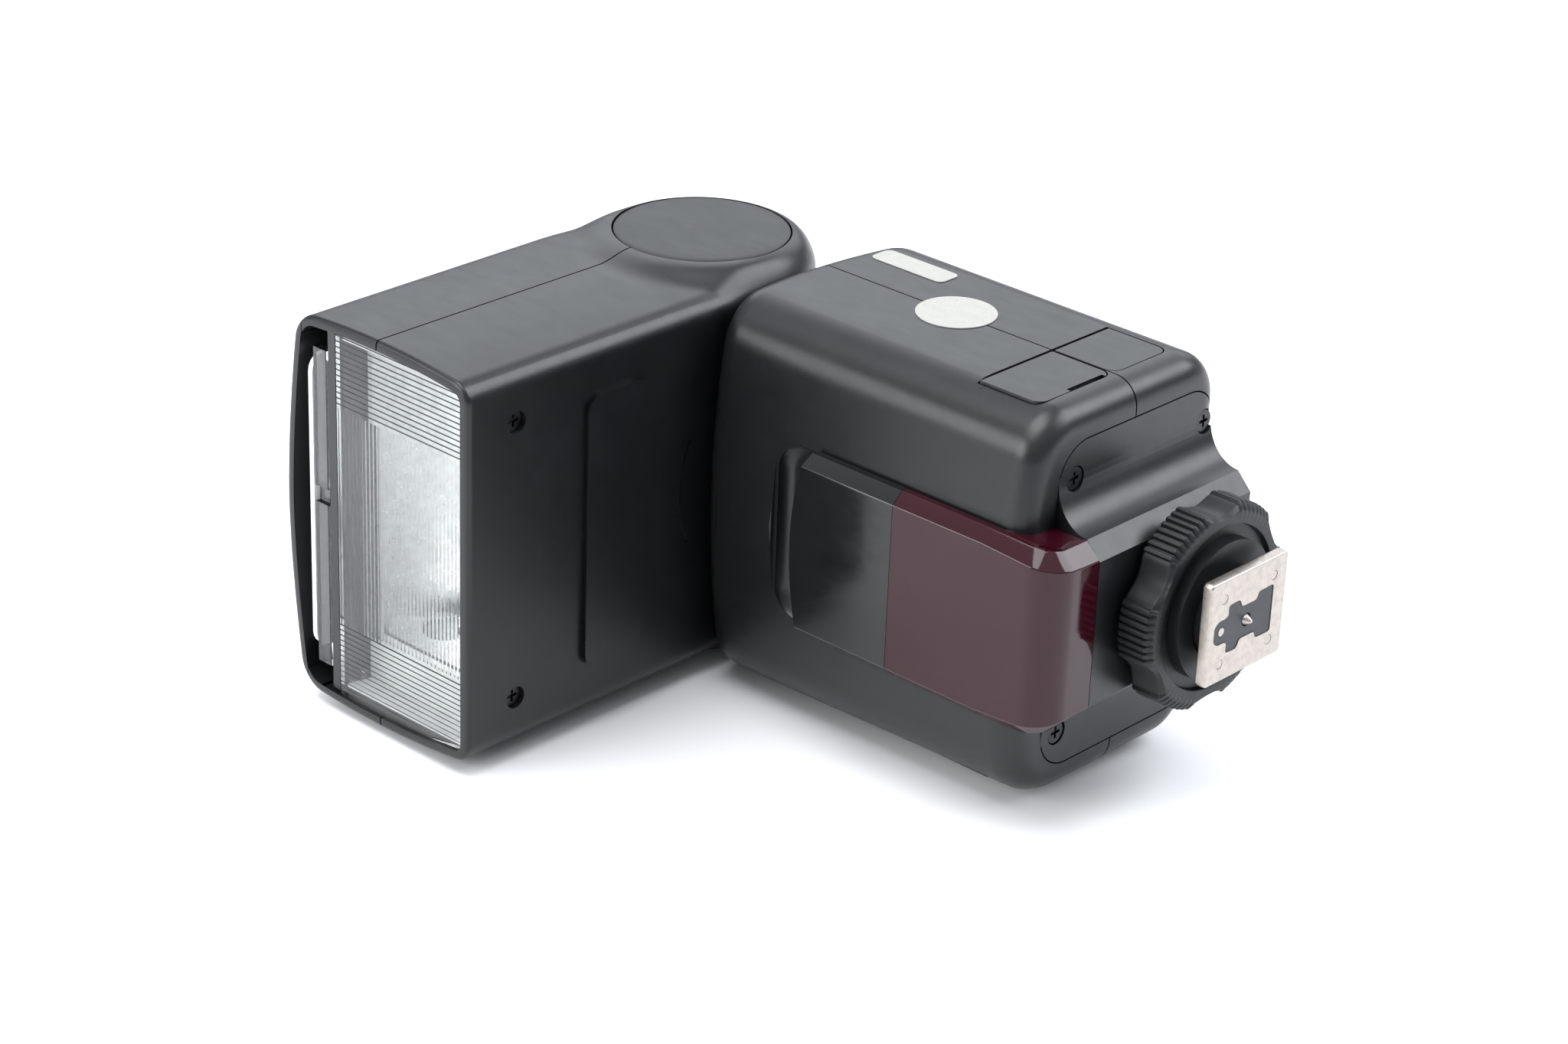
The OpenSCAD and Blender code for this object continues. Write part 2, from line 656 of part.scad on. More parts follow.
module battery_door() color([0.11, 0.11, 0.12]) lay() difference() {
  union() {
    difference() {
      along_x(door_x + 0.02, door_x + door_t) polygon(rounded(door_y0, door_pin_z - 3, door_y1, door_z1, 2.5, 4));
      block([door_x - 1, door_y0 - 1, door_pin_z - 5], [door_x + 4, door_y1 + 1, door_pin_z]);
      for (y = [[door_y0 - 1, door_y0 + 3.8], [door_y1 - 3.8, door_y1 + 1]])
        block([door_x - 1, y[0], door_pin_z - 1], [door_x + 4, y[1], door_pin_z + 2]);
    }
    rod_y(door_y0 + 4, door_y1 - 4, door_pin_x, door_pin_z, door_knuckle);
    rod_x(door_x + door_t - 0.1, door_x + door_t + 0.5, cell_y, cell_z, 6);
  }
  rod_y(door_y0 - 1, door_y1 + 1, door_pin_x, door_pin_z, door_pin_r + running);
  for (k = [0:4]) rod_y(cell_y - 9, cell_y + 7, door_x - 0.5, door_z1 - 5 - 2 * k, 0.9);
}

module door_carriage() color([0.35, 0.35, 0.36]) lay() {
  rod_y(door_y0 + 1, door_y1 - 1, door_pin_x, door_pin_z, door_pin_r);
  for (y = [door_y0 + 1, door_y1 - 3.5])
    block([door_x + 0.5, y, door_pin_z - 1.6], [door_x + 3.3, y + 2.5, door_pin_z + 1.6]);
}

// Boards and parts inside the body

module main_board() color([0.05, 0.3, 0.14]) lay() difference() {
  block([-27, board_y, body_end + 9], [27, board_y + board_t, cell_z + holder_half + 1]);
  for (x = [-24, 24]) rod_y(board_y - 1, board_y + board_t + 1, x, body_end + 12, 1.2);
}

module tact_switches() color([0.3, 0.3, 0.32]) lay()
  for (at = [test_at, mode_at, plus_at, minus_at])
    rod_y(board_y + board_t, inner_rear - flange_t - press - 0.35, at[0], at[1], 1.8);

module main_capacitor() color([0.12, 0.13, 0.3]) lay() {
  rod_y(-19, inner_rear - 7, inner_side - 9.3, cell_z + holder_half + 11, 8.4);
  for (x = [-2.5, 2.5]) rod_y(-20.5, -19, inner_side - 9.3 + x, cell_z + holder_half + 11, 0.5);
}

module transformer() color([0.5, 0.42, 0.2]) lay() {
  block([-29, -17, cell_z + holder_half + 0.6], [-16, -2, cell_z + holder_half + 3.6]);
  rod_z(cell_z + holder_half + 3.6, cell_z + holder_half + 11, -22.5, -9.5, 5.6);
  block([-29, -17, cell_z + holder_half + 11], [-16, -2, cell_z + holder_half + 14]);
}

module trigger_coil() color([0.75, 0.6, 0.3]) lay()
  rod_z(cell_z + holder_half + 0.4, cell_z + holder_half + 10, -22, 5, 4);

// Rear controls

module control_panel() color([0.05, 0.05, 0.06]) lay() difference() {
  along_y(plate_y + 0.05, plate_y + plate_t) polygon(rounded(-plate_hw, plate_z0, plate_hw, plate_z1, 4));
  control_holes(button_fit);
}

module level_leds() color([0.6, 0.15, 0.12]) lay()
  for (k = [-3.5:3.5]) rod_y(inner_rear - 3.2, plate_y + plate_t, k * led_pitch, led_z, led_r);

module ready_lamp() color([0.85, 0.3, 0.15]) lay()
  rod_y(inner_rear - 3.2, plate_y + plate_t + 0.2, lamp_at[0], lamp_at[1], led_r);

module push_button(at, r) {
  rod_y(inner_rear - flange_t, inner_rear - 0.05, at[0], at[1], r + 1);
  rod_y(inner_rear - 0.1, button_top - 0.4, at[0], at[1], r);
  translate([at[0], button_top - 0.4, at[1]]) rotate([-90, 0, 0]) cylinder(r1 = r, r2 = r - 0.4, h = 0.4);
}

module test_button() color([0.6, 0.12, 0.1]) lay() push_button(test_at, button_r);
module mode_button() color([0.2, 0.2, 0.21]) lay() push_button(mode_at, button_r);
module plus_button() color([0.2, 0.2, 0.21]) lay() push_button(plus_at, small_r);
module minus_button() color([0.2, 0.2, 0.21]) lay() push_button(minus_at, small_r);

module power_switch() color([0.25, 0.25, 0.26]) lay() translate([switch_at[0] - switch_travel / 2, 0, switch_at[1]]) {
  block([-5.2, inner_rear - flange_t, -2.6], [5.2, inner_rear - 0.1, 2.6]);
  block([-3, inner_rear - 0.2, -1.5], [3, body_rear + 0.6, 1.5]);
  for (x = [-2, 0, 2]) block([x - 0.4, body_rear + 0.5, -1.5], [x + 0.4, body_rear + 1.2, 1.5]);
}

module round_sticker() color([0.93, 0.93, 0.9]) lay()
  rod_x(body_hw + 0.01, body_hw + sticker_t, shell_split + 0.3, body_top - 32.9, 7);

module long_sticker() color([0.94, 0.94, 0.94]) lay()
  along_x(body_hw + 0.01, body_hw + sticker_t)
    polygon(rounded(body_rear - 15, body_top - 22.4, body_rear - 9.8, body_top - 5.9, 1.3));

// Swivel

module swivel_socket() color([0.2, 0.2, 0.21]) lay() difference() {
  union() {
    rod_z(socket_z0, body_top - 0.3, 0, tilt_y, socket_r);
    rod_z(socket_z0, socket_z0 + 2, 0, tilt_y, socket_r + 1.7);
  }
  rod_z(socket_z0 - 1, body_top + 1, 0, tilt_y, pivot_r + running);
}

module neck_turret() color([0.1, 0.1, 0.11]) lay() difference() {
  union() {
    rod_z(socket_z0 - 0.2, under, 0, tilt_y, pivot_r);
    block([-neck_hw, tilt_y - neck_hd, body_top + 0.25], [neck_hw, tilt_y + neck_hd, tilt_z]);
    rod_x(-neck_hw, neck_hw, tilt_y, tilt_z, barrel_r);
  }
  rod_x(-60, 60, tilt_y, tilt_z, axle_r + 0.02);
  rod_z(socket_z0 - 1, body_top - 2, 0, tilt_y, 6);
}

module tilt_axle() color([0.7, 0.7, 0.7]) lay() rod_x(-axle_x, axle_x, tilt_y, tilt_z, axle_r);

module swivel_retainer() color([0.55, 0.55, 0.56]) lay() difference() {
  union() {
    rod_z(socket_z0 - 2.4, socket_z0 - 0.2, 0, tilt_y, pivot_r + 1.4);
    rod_z(socket_z0 - 0.3, socket_z0 + 6, 0, tilt_y, 5.95);
  }
  rod_z(socket_z0 - 4, socket_z0 + 8, 0, tilt_y, 3.5);
}

// Head shells

module boss(i) translate([0, tilt_y, tilt_z]) rotate([0, 90, 0]) rotate_extrude($fn = 96) polygon(concat(
  [[0, -boss_x + i]],
  arc([boss_r - boss_edge, -boss_x + boss_edge], boss_edge - i, -90, 0, 6),
  arc([boss_r - boss_edge, boss_x - boss_edge], boss_edge - i, 0, 90, 6),
  [[0, boss_x - i]]
));

module head_form(i) union() {
  intersection() {
    along_y(-head_front - 3, tilt_y + 1) polygon(head_outline(i));
    along_x(-head_hw - 4, head_hw + 4) polygon(head_side(i));
  }
  boss(i);
}

// Cut-out that the neck passes through from tilt 0 to 90 degrees
module neck_slot() {
  block([-slot_hw, tilt_y - slot_hd, under - 5], [slot_hw, tilt_y + 40, tilt_z]);
  block([-slot_hw, tilt_y, under - 5], [slot_hw, tilt_y + 40, tilt_z + slot_hd]);
  rod_x(-slot_hw, slot_hw, tilt_y, tilt_z, slot_r);
}

module hinge_walls() intersection() {
  head_form(0.2);
  union() {
    rod_x(-slot_hw - 1, slot_hw + 1, tilt_y, tilt_z, slot_r + shield_t);
    block([-slot_hw - 1, tilt_y - slot_hd - shield_t, under], [slot_hw + 1, tilt_y, tilt_z]);
    block([-slot_hw - 1, tilt_y, tilt_z], [slot_hw + 1, tilt_y + boss_r, tilt_z + slot_hd + shield_t]);
    both_sides() rod_x(slot_hw, slot_hw + cheek_t, tilt_y, tilt_z, boss_r + 2);
    both_sides() rod_x(boss_x - cap_t - 2.4, boss_x, tilt_y, tilt_z, cap_r + 1.6);
  }
}

module head_skin() difference() {
  union() {
    difference() {
      head_form(0);
      head_form(head_wall);
    }
    hinge_walls();
    both_sides() rod_z(under + 0.5, under + 3.7, screw_hx, screw_hy, 2.6);
  }
  neck_slot();
  rod_x(-slot_hw - cheek_t - 1, slot_hw + cheek_t + 1, tilt_y, tilt_z, bush_r + fit);
  both_sides() rod_x(cap_x - cap_t, cap_x + 1, tilt_y, tilt_z, cap_r + fit);
  both_sides() {
    rod_z(under - 1, under + 2, screw_hx, screw_hy, 1.95);
    rod_z(under - 1, under + 3.5, screw_hx, screw_hy, screw_r + running);
  }
  along_z(under - 1, under + 0.35) polygon(rounded(-25, -57.4, 25, -44.2, 3));
}

module head_lower_shell() color([0.11, 0.11, 0.12]) lay() intersection() {
  head_skin();
  block([-60, -120, under - 5], [60, 60, seam_z]);
}

module head_upper_shell() color([0.13, 0.13, 0.14]) lay() difference() {
  intersection() {
    head_skin();
    block([-60, -120, seam_z], [60, 60, head_top + 10]);
  }
  block([-60, -120, cover_z], [60, cover_y, head_top + 10]);
}

module head_top_cover() color([0.12, 0.12, 0.13]) lay() intersection() {
  head_form(0);
  block([-60, -120, cover_z + 0.02], [60, cover_y - 0.1, head_top + 10]);
}

module hinge_cap() translate([cap_x, tilt_y, tilt_z]) rotate([0, 90, 0]) rotate_extrude($fn = 96) polygon(concat(
  [[0, -cap_t + 0.05], [cap_r, -cap_t + 0.05]],
  arc([cap_r - 0.8, -1.1], 0.8, 0, 80, 3),
  [[0, 0]]
));

module hinge_cap_left() color([0.17, 0.17, 0.18]) lay() hinge_cap();
module hinge_cap_right() color([0.17, 0.17, 0.18]) lay() mirror([1, 0, 0]) hinge_cap();

module tilt_bearings() color([0.75, 0.74, 0.7]) lay() both_sides() difference() {
  union() {
    rod_x(slot_hw, slot_hw + cheek_t + 1.5, tilt_y, tilt_z, bush_r);
    rod_x(slot_hw + cheek_t + 0.05, slot_hw + cheek_t + 1.5, tilt_y, tilt_z, bush_r + 2);
  }
  rod_x(0, 60, tilt_y, tilt_z, axle_r + running);
}

module head_screws() color([0.16, 0.16, 0.17]) lay() both_sides() translate([screw_hx, screw_hy, 0]) {
  cross_head(under + 0.95, 1.85);
  rod_z(under + 1.9, under + 3.4, 0, 0, screw_r);
}

// Lens, reflector and tube

module inner_plate(y0, y1, z0, z1) intersection() {
  along_y(y0, y1) polygon(head_outline(head_wall + fit));
  block([-60, y0, z0], [60, y1, z1]);
}

module fresnel_lens() color([0.92, 0.94, 0.96, 0.35]) lay() inner_plate(lens_y, lens_y + lens_t, under, lens_z);

module reflector_profile(g) polygon(
  [for (k = [-8:8]) [mirror_y + g - (mirror_depth + g) * pow(k / 8, 2), mirror_z + (mirror_rise + g) * k / 8]]
);

module reflector() color([0.85, 0.86, 0.88]) lay() {
  difference() {
    along_x(-mirror_hw - mirror_t, mirror_hw + mirror_t) reflector_profile(mirror_t);
    along_x(-mirror_hw, mirror_hw) reflector_profile(0);
    rod_x(-60, 60, tube_y, mirror_z, tube_r + 0.6);
  }
  difference() {
    inner_plate(mouth_y, mouth_y + 0.8, under, lens_z);
    block([-mirror_hw, mouth_y - 1, mirror_z - mirror_rise + 0.4], [mirror_hw, mouth_y + 2, mirror_z + mirror_rise - 0.4]);
  }
}

module flash_tube() color([0.85, 0.88, 0.9, 0.4]) lay() rod_x(-mirror_hw - 3.2, mirror_hw + 3.2, tube_y, mirror_z, tube_r);

module tube_holders() color([0.8, 0.78, 0.74]) lay() both_sides() difference() {
  rod_x(mirror_hw + mirror_t + 0.05, mirror_hw + 3, tube_y, mirror_z, tube_r + 1.8);
  rod_x(0, 60, tube_y, mirror_z, tube_r + 0.03);
}

module panel_tray() color([0.08, 0.08, 0.09]) lay() inner_plate(lens_y, card_y1 - 3, tray_z, tray_z + tray_t);

module wide_panel() color([0.9, 0.93, 0.95, 0.35]) lay() {
  block([-wide_hw, lens_y + 1.4, wide_z], [wide_hw, wide_y1, wide_z + wide_t]);
  difference() {
    block([-wide_hw, lens_y, wide_z], [wide_hw, lens_y + 1.5, wide_z + wide_lip]);
    block([1, lens_y - 1, wide_z - 1], [4, lens_y + 1, wide_z + wide_lip + 1]);
  }
}

module bounce_card() color([0.95, 0.95, 0.94]) lay()
  along_z(card_z, card_z + card_t) polygon(rounded(-card_hw, lens_y, card_hw, card_y1, 3));

front_shell();
rear_shell();
foot_cover();
foot_cover_screws();
front_panel();
sensor_window();
slave_sensor();
assist_lamp();
hot_shoe_plate();
shoe_insert();
shoe_rivets();
shoe_stem();
contact_spring();
sync_jack();
power_jack();
port_cover_pins();
battery_holder();
battery_cells();
cell_springs();
main_board();
tact_switches();
main_capacitor();
transformer();
trigger_coil();
control_panel();
level_leds();
ready_lamp();
swivel_socket();
round_sticker();
long_sticker();
neck_turret();
tilt_axle();
swivel_retainer();
head_lower_shell();
head_upper_shell();
head_top_cover();
hinge_cap_left();
hinge_cap_right();
tilt_bearings();
head_screws();
fresnel_lens();
reflector();
flash_tube();
tube_holders();
panel_tray();
wide_panel();
bounce_card();
lock_ring();
clamp_disc();
locking_pin();
centre_contact();
test_button();
mode_button();
plus_button();
minus_button();
power_switch();
sync_port_cover();
power_port_cover();
battery_door();
door_carriage();
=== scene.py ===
"""Looks of the speedlight flash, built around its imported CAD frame.

Shapes are drawn upright in millimetres, as in the CAD: z runs from the shoe foot's outer face to the head,
the lens looks towards -y and the left side is +x. lay() turns them into the row frame.
"""
import json
import math

import bmesh
import bpy
import numpy as np
from mathutils import Matrix, Vector


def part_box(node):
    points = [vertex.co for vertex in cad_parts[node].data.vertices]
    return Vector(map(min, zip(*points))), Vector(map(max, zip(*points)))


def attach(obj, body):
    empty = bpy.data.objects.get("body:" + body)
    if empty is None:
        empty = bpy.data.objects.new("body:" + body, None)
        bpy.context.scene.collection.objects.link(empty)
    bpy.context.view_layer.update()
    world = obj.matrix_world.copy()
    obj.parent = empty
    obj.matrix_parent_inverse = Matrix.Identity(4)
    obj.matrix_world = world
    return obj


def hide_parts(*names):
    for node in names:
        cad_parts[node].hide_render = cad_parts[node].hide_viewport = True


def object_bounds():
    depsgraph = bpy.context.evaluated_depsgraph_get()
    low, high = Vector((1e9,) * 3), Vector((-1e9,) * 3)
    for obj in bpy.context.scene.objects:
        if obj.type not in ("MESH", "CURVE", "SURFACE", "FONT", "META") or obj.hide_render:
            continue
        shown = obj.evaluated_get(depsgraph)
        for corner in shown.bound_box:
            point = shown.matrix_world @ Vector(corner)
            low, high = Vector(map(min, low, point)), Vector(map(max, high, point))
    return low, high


MM = 0.001

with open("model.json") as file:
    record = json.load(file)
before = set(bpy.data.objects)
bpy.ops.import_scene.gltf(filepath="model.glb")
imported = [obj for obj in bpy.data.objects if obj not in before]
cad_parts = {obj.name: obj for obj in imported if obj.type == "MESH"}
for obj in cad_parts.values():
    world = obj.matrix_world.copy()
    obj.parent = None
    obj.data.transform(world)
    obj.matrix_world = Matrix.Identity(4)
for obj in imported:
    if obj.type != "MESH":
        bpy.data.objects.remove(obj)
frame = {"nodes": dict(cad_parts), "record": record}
CAD_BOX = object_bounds()
scene = bpy.context.scene
slot_of = {entry["node"]: entry["material_slot"] for entry in frame["record"]["subparts"]}


# ---------------------------------------------------------------- camera and light

SENSOR_MM = 36
NEAR, FAR = 0.01, 50
LIGHT_TARGET = (-0.07, -0.03, 0.0)


def direction(azimuth, elevation):
    """From the object towards a viewer or a light; azimuth 0 looks from -Y of the row."""
    a, e = math.radians(azimuth), math.radians(elevation)
    return Vector((math.sin(a) * math.cos(e), -math.cos(a) * math.cos(e), math.sin(e)))


def add_camera(azimuth, elevation, roll, target, distance, lens):
    back = direction(azimuth, elevation)
    right = Vector((math.cos(math.radians(azimuth)), math.sin(math.radians(azimuth)), 0))
    up = back.cross(right)
    r = math.radians(roll)
    x, y = math.cos(r) * right + math.sin(r) * up, math.cos(r) * up - math.sin(r) * right
    data = bpy.data.cameras.new("camera")
    data.lens, data.sensor_width = lens, SENSOR_MM
    data.clip_start, data.clip_end = NEAR, FAR
    data.dof.use_dof = False
    camera = bpy.data.objects.new("camera", data)
    scene.collection.objects.link(camera)
    place = Matrix((x, y, back)).transposed().to_4x4()
    place.translation = Vector(target) + distance * back
    camera.matrix_world = place
    scene.camera = camera


def add_area_light(name, azimuth, elevation, distance, size, power, colour=(1, 1, 1)):
    data = bpy.data.lights.new(name, "AREA")
    data.shape, data.size, data.size_y = "RECTANGLE", size[0], size[1]
    data.energy, data.color = power, colour
    light = bpy.data.objects.new(name, data)
    scene.collection.objects.link(light)
    back = direction(azimuth, elevation)
    light.location = Vector(LIGHT_TARGET) + distance * back
    light.rotation_euler = back.to_track_quat("Z", "Y").to_euler()


def add_world():
    """A pale studio tent, brighter overhead than at the horizon."""
    world = bpy.data.worlds.new("studio")
    scene.world = world
    world.use_nodes = True
    tree = world.node_tree
    tree.nodes.clear()
    out = tree.nodes.new("ShaderNodeOutputWorld")
    back = tree.nodes.new("ShaderNodeBackground")
    coords = tree.nodes.new("ShaderNodeTexCoord")
    split = tree.nodes.new("ShaderNodeSeparateXYZ")
    ramp = tree.nodes.new("ShaderNodeValToRGB")
    link = tree.links.new
    link(coords.outputs["Generated"], split.inputs[0])
    link(split.outputs["Z"], ramp.inputs[0])
    stops = [(0.0, (0.28, 0.29, 0.31, 1)), (0.3, (0.5, 0.52, 0.55, 1)), (0.8, (0.9, 0.92, 0.96, 1))]
    while len(ramp.color_ramp.elements) < len(stops):
        ramp.color_ramp.elements.new(0.5)
    for element, (at, colour) in zip(ramp.color_ramp.elements, stops):
        element.position, element.color = at, colour
    link(ramp.outputs[0], back.inputs["Color"])
    back.inputs["Strength"].default_value = 1.0
    link(back.outputs[0], out.inputs[0])


add_camera(azimuth=42.445, elevation=25.463, roll=2.227,
           target=(-0.075669, -0.030, 0.000627), distance=0.64984, lens=87.78)
add_world()
add_area_light("back", azimuth=215, elevation=32, distance=1.3, size=(1.5, 0.8),
               power=6.5, colour=(0.90, 0.95, 1.0))
add_area_light("top", azimuth=-20, elevation=76, distance=1.1, size=(0.9, 0.7),
               power=12, colour=(0.95, 0.98, 1.0))
add_area_light("front", azimuth=-22, elevation=22, distance=1.2, size=(0.8, 0.6), power=11)
add_area_light("side", azimuth=143, elevation=40, distance=1.2, size=(0.7, 0.8),
               power=12, colour=(0.92, 0.96, 1.0))
scene.view_settings.view_transform = "Standard"
scene.view_settings.look = "None"
scene.view_settings.exposure = 0.0
scene.view_settings.gamma = 1.0


# ---------------------------------------------------------------- materials

class Shader:
    """A Principled material with small helpers for its procedural detail."""

    def __init__(self, name, **sockets):
        self.material = bpy.data.materials.new(name)
        self.material.use_nodes = True
        self.tree = self.material.node_tree
        self.bsdf = next(n for n in self.tree.nodes if n.type == "BSDF_PRINCIPLED")
        self.coords = self.add("ShaderNodeTexCoord")
        for socket, value in sockets.items():
            self.bsdf.inputs[socket.replace("_", " ")].default_value = value

    def add(self, kind, **settings):
        node = self.tree.nodes.new(kind)
        for key, value in settings.items():
            setattr(node, key, value)
        return node

    def link(self, a, b):
        self.tree.links.new(a, b)

    def noise(self, size_mm, detail=2.0, roughness=0.5, stretch=(1, 1, 1)):
        """Noise whose features are about size_mm across, longer by stretch along each axis of the row."""
        mapping = self.add("ShaderNodeMapping")
        for axis in range(3):
            mapping.inputs["Scale"].default_value[axis] = 1 / stretch[axis]
        noise = self.add("ShaderNodeTexNoise")
        noise.inputs["Scale"].default_value = 1 / (size_mm * MM)
        noise.inputs["Detail"].default_value = detail
        noise.inputs["Roughness"].default_value = roughness
        self.link(self.coords.outputs["Object"], mapping.inputs["Vector"])
        self.link(mapping.outputs[0], noise.inputs["Vector"])
        return noise.outputs["Fac"]

    def ramp(self, fac, *stops):
        node = self.add("ShaderNodeValToRGB")
        while len(node.color_ramp.elements) < len(stops):
            node.color_ramp.elements.new(0.5)
        for element, (at, value) in zip(node.color_ramp.elements, stops):
            element.position = at
            element.color = (*value, 1) if isinstance(value, tuple) else (value, value, value, 1)
        self.link(fac, node.inputs[0])
        return node.outputs[0]

    def mix(self, fac, a, b):
        """Colour a where fac is 0 and b where it is 1; each is a colour or another node's output."""
        node = self.add("ShaderNodeMix", data_type="RGBA")
        self.link(fac, node.inputs[0])
        for socket, value in ((node.inputs[6], a), (node.inputs[7], b)):
            if isinstance(value, tuple):
                socket.default_value = (*value, 1)
            else:
                self.link(value, socket)
        return node.outputs[2]

    def bump(self, height, depth_mm):
        node = self.add("ShaderNodeBump")
        node.inputs["Strength"].default_value = 1.0
        node.inputs["Distance"].default_value = depth_mm * MM
        self.link(height, node.inputs["Height"])
        self.link(node.outputs[0], self.bsdf.inputs["Normal"])

    def colour(self, source):
        self.link(source, self.bsdf.inputs["Base Color"])

    def roughness(self, source):
        self.link(source, self.bsdf.inputs["Roughness"])


def moulded(name, colour, rough, grain_mm=0.22, depth_mm=0.012, specks=0.0, smudge=0.03, **sockets):
    """Moulded plastic: spark-eroded grain, faint handling marks and a slightly uneven tone."""
    s = Shader(name, **sockets)
    tone = s.noise(9, detail=3)
    light, dark = tuple(c * 1.12 for c in colour), tuple(c * 0.9 for c in colour)
    base = s.mix(s.ramp(tone, (0.35, 0.0), (0.65, 1.0)), dark, light)
    if specks:
        grit = s.ramp(s.noise(0.35, detail=1), (0.66, 0.0), (0.78, specks))
        base = s.mix(grit, base, tuple(min(1, c * 5 + 0.05) for c in colour))
    s.colour(base)
    marks = s.noise(3.0, detail=5, roughness=0.65, stretch=(2.5, 1, 1))
    s.roughness(s.ramp(marks, (0.3, rough - smudge), (0.7, rough + smudge)))
    s.bump(s.noise(grain_mm, detail=2), depth_mm)
    return s.material


def metal(name, colour, rough, spots=0.3, brushed=(1, 1, 1)):
    """Plated metal with a fine grain, small dull spots and duller patches."""
    s = Shader(name, Metallic=1.0)
    patch = s.ramp(s.noise(1.6, detail=4, roughness=0.6), (0.42, 0.0), (0.62, 1.0))
    dot = s.ramp(s.noise(0.28, detail=2), (0.60, 0.0), (0.74, spots))
    base = s.mix(patch, colour, tuple(c * 0.86 for c in colour))
    s.colour(s.mix(dot, base, tuple(c * 0.5 for c in colour)))
    s.roughness(s.ramp(s.noise(1.2, detail=5, roughness=0.7), (0.3, rough - 0.07), (0.7, rough + 0.12)))
    s.bump(s.noise(0.18, detail=3, stretch=brushed), 0.006)
    return s.material


def clear(name, colour, rough, ior, share=1.0):
    """Clear or tinted plastic, with a faint haze in patches; share is the part of the light that goes through."""
    s = Shader(name, Transmission_Weight=share, IOR=ior)
    veil = s.noise(4.0, detail=3)
    s.colour(s.mix(s.ramp(veil, (0.3, 0.0), (0.7, 1.0)), colour, tuple(c * 0.93 for c in colour)))
    s.roughness(s.ramp(s.noise(1.4, detail=4), (0.35, rough), (0.75, rough + 0.04)))
    return s.material


def paper(name, colour):
    """Coated paper or card with a faint fibre."""
    s = Shader(name)
    fibre = s.noise(0.5, detail=4, roughness=0.7)
    s.colour(s.mix(s.ramp(fibre, (0.35, 0.0), (0.7, 1.0)), colour, tuple(c * 0.9 for c in colour)))
    s.roughness(s.ramp(s.noise(2.0), (0.3, 0.35), (0.7, 0.5)))
    s.bump(s.noise(0.3, detail=3), 0.004)
    return s.material


MATERIALS = {
    "shell_plastic": moulded("shell_plastic", (0.0046, 0.0050, 0.0059), rough=0.34, specks=0.05,
                             Specular_IOR_Level=0.45),
    "cap_plastic": moulded("cap_plastic", (0.007, 0.0075, 0.0085), rough=0.40, depth_mm=0.02, specks=0.12,
                           Specular_IOR_Level=0.40),
    "gloss_panel": moulded("gloss_panel", (0.006, 0.0065, 0.007), rough=0.12, grain_mm=1.5, depth_mm=0.001,
                           smudge=0.04),
    "red_window": clear("red_window", (0.036, 0.0028, 0.0085), rough=0.05, ior=1.42, share=0.35),
    "sensor_glass": moulded("sensor_glass", (0.03, 0.01, 0.02), rough=0.15, grain_mm=1.0, depth_mm=0.001),
    "nickel": metal("nickel", (0.44, 0.395, 0.36), rough=0.3, spots=0.35),
    "insert_plastic": moulded("insert_plastic", (0.016, 0.018, 0.022), rough=0.42, Specular_IOR_Level=0.4),
    "ring_plastic": moulded("ring_plastic", (0.007, 0.0075, 0.0085), rough=0.42, specks=0.05, Specular_IOR_Level=0.3),
    "screw_steel": metal("screw_steel", (0.05, 0.05, 0.055), rough=0.35, spots=0.5),
    "axle_steel": metal("axle_steel", (0.62, 0.62, 0.62), rough=0.22, brushed=(1, 8, 1)),
    "bearing_plastic": moulded("bearing_plastic", (0.60, 0.58, 0.52), rough=0.45),
    "spring_brass": metal("spring_brass", (0.78, 0.60, 0.30), rough=0.3),
    "jack_plastic": moulded("jack_plastic", (0.012, 0.012, 0.013), rough=0.5),
    "cell_can": metal("cell_can", (0.60, 0.62, 0.64), rough=0.3, spots=0.1, brushed=(6, 1, 1)),
    "board": moulded("board", (0.012, 0.09, 0.035), rough=0.35, grain_mm=0.6),
    "component": moulded("component", (0.03, 0.03, 0.08), rough=0.3, grain_mm=0.8),
    "winding": metal("winding", (0.62, 0.34, 0.14), rough=0.4, brushed=(0.2, 3, 3)),
    "led": moulded("led", (0.45, 0.05, 0.03), rough=0.2, grain_mm=1.0, depth_mm=0.001),
    "button_plastic": moulded("button_plastic", (0.06, 0.06, 0.065), rough=0.5, specks=0.05),
    "test_plastic": moulded("test_plastic", (0.34, 0.018, 0.014), rough=0.4),
    "sticker_paper": paper("sticker_paper", (0.33, 0.322, 0.30)),
    "lens_clear": clear("lens_clear", (0.97, 0.985, 0.98), rough=0.015, ior=1.46),
    "tube_glass": clear("tube_glass", (0.97, 0.98, 0.98), rough=0.01, ior=1.46),
    "mirror_metal": metal("mirror_metal", (0.95, 0.955, 0.955), rough=0.30, spots=0.02),
    "silicone": moulded("silicone", (0.55, 0.55, 0.52), rough=0.55),
    "tray_plastic": moulded("tray_plastic", (0.014, 0.0145, 0.016), rough=0.42),
    "panel_clear": clear("panel_clear", (0.90, 0.925, 0.93), rough=0.05, ior=1.46),
    "card_white": paper("card_white", (0.80, 0.81, 0.80)),
}

for node, obj in frame["nodes"].items():
    obj.data.materials.clear()
    obj.data.materials.append(MATERIALS[slot_of[node]])
    obj.data.polygons.foreach_set("material_index", [0] * len(obj.data.polygons))


# ---------------------------------------------------------------- sizes read from the frame

def cad_box(node):
    """Lowest and highest corner of a CAD node, upright and in millimetres."""
    lo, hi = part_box(node)
    return np.array([lo.z, lo.y, -hi.x]) / MM, np.array([hi.z, hi.y, -lo.x]) / MM


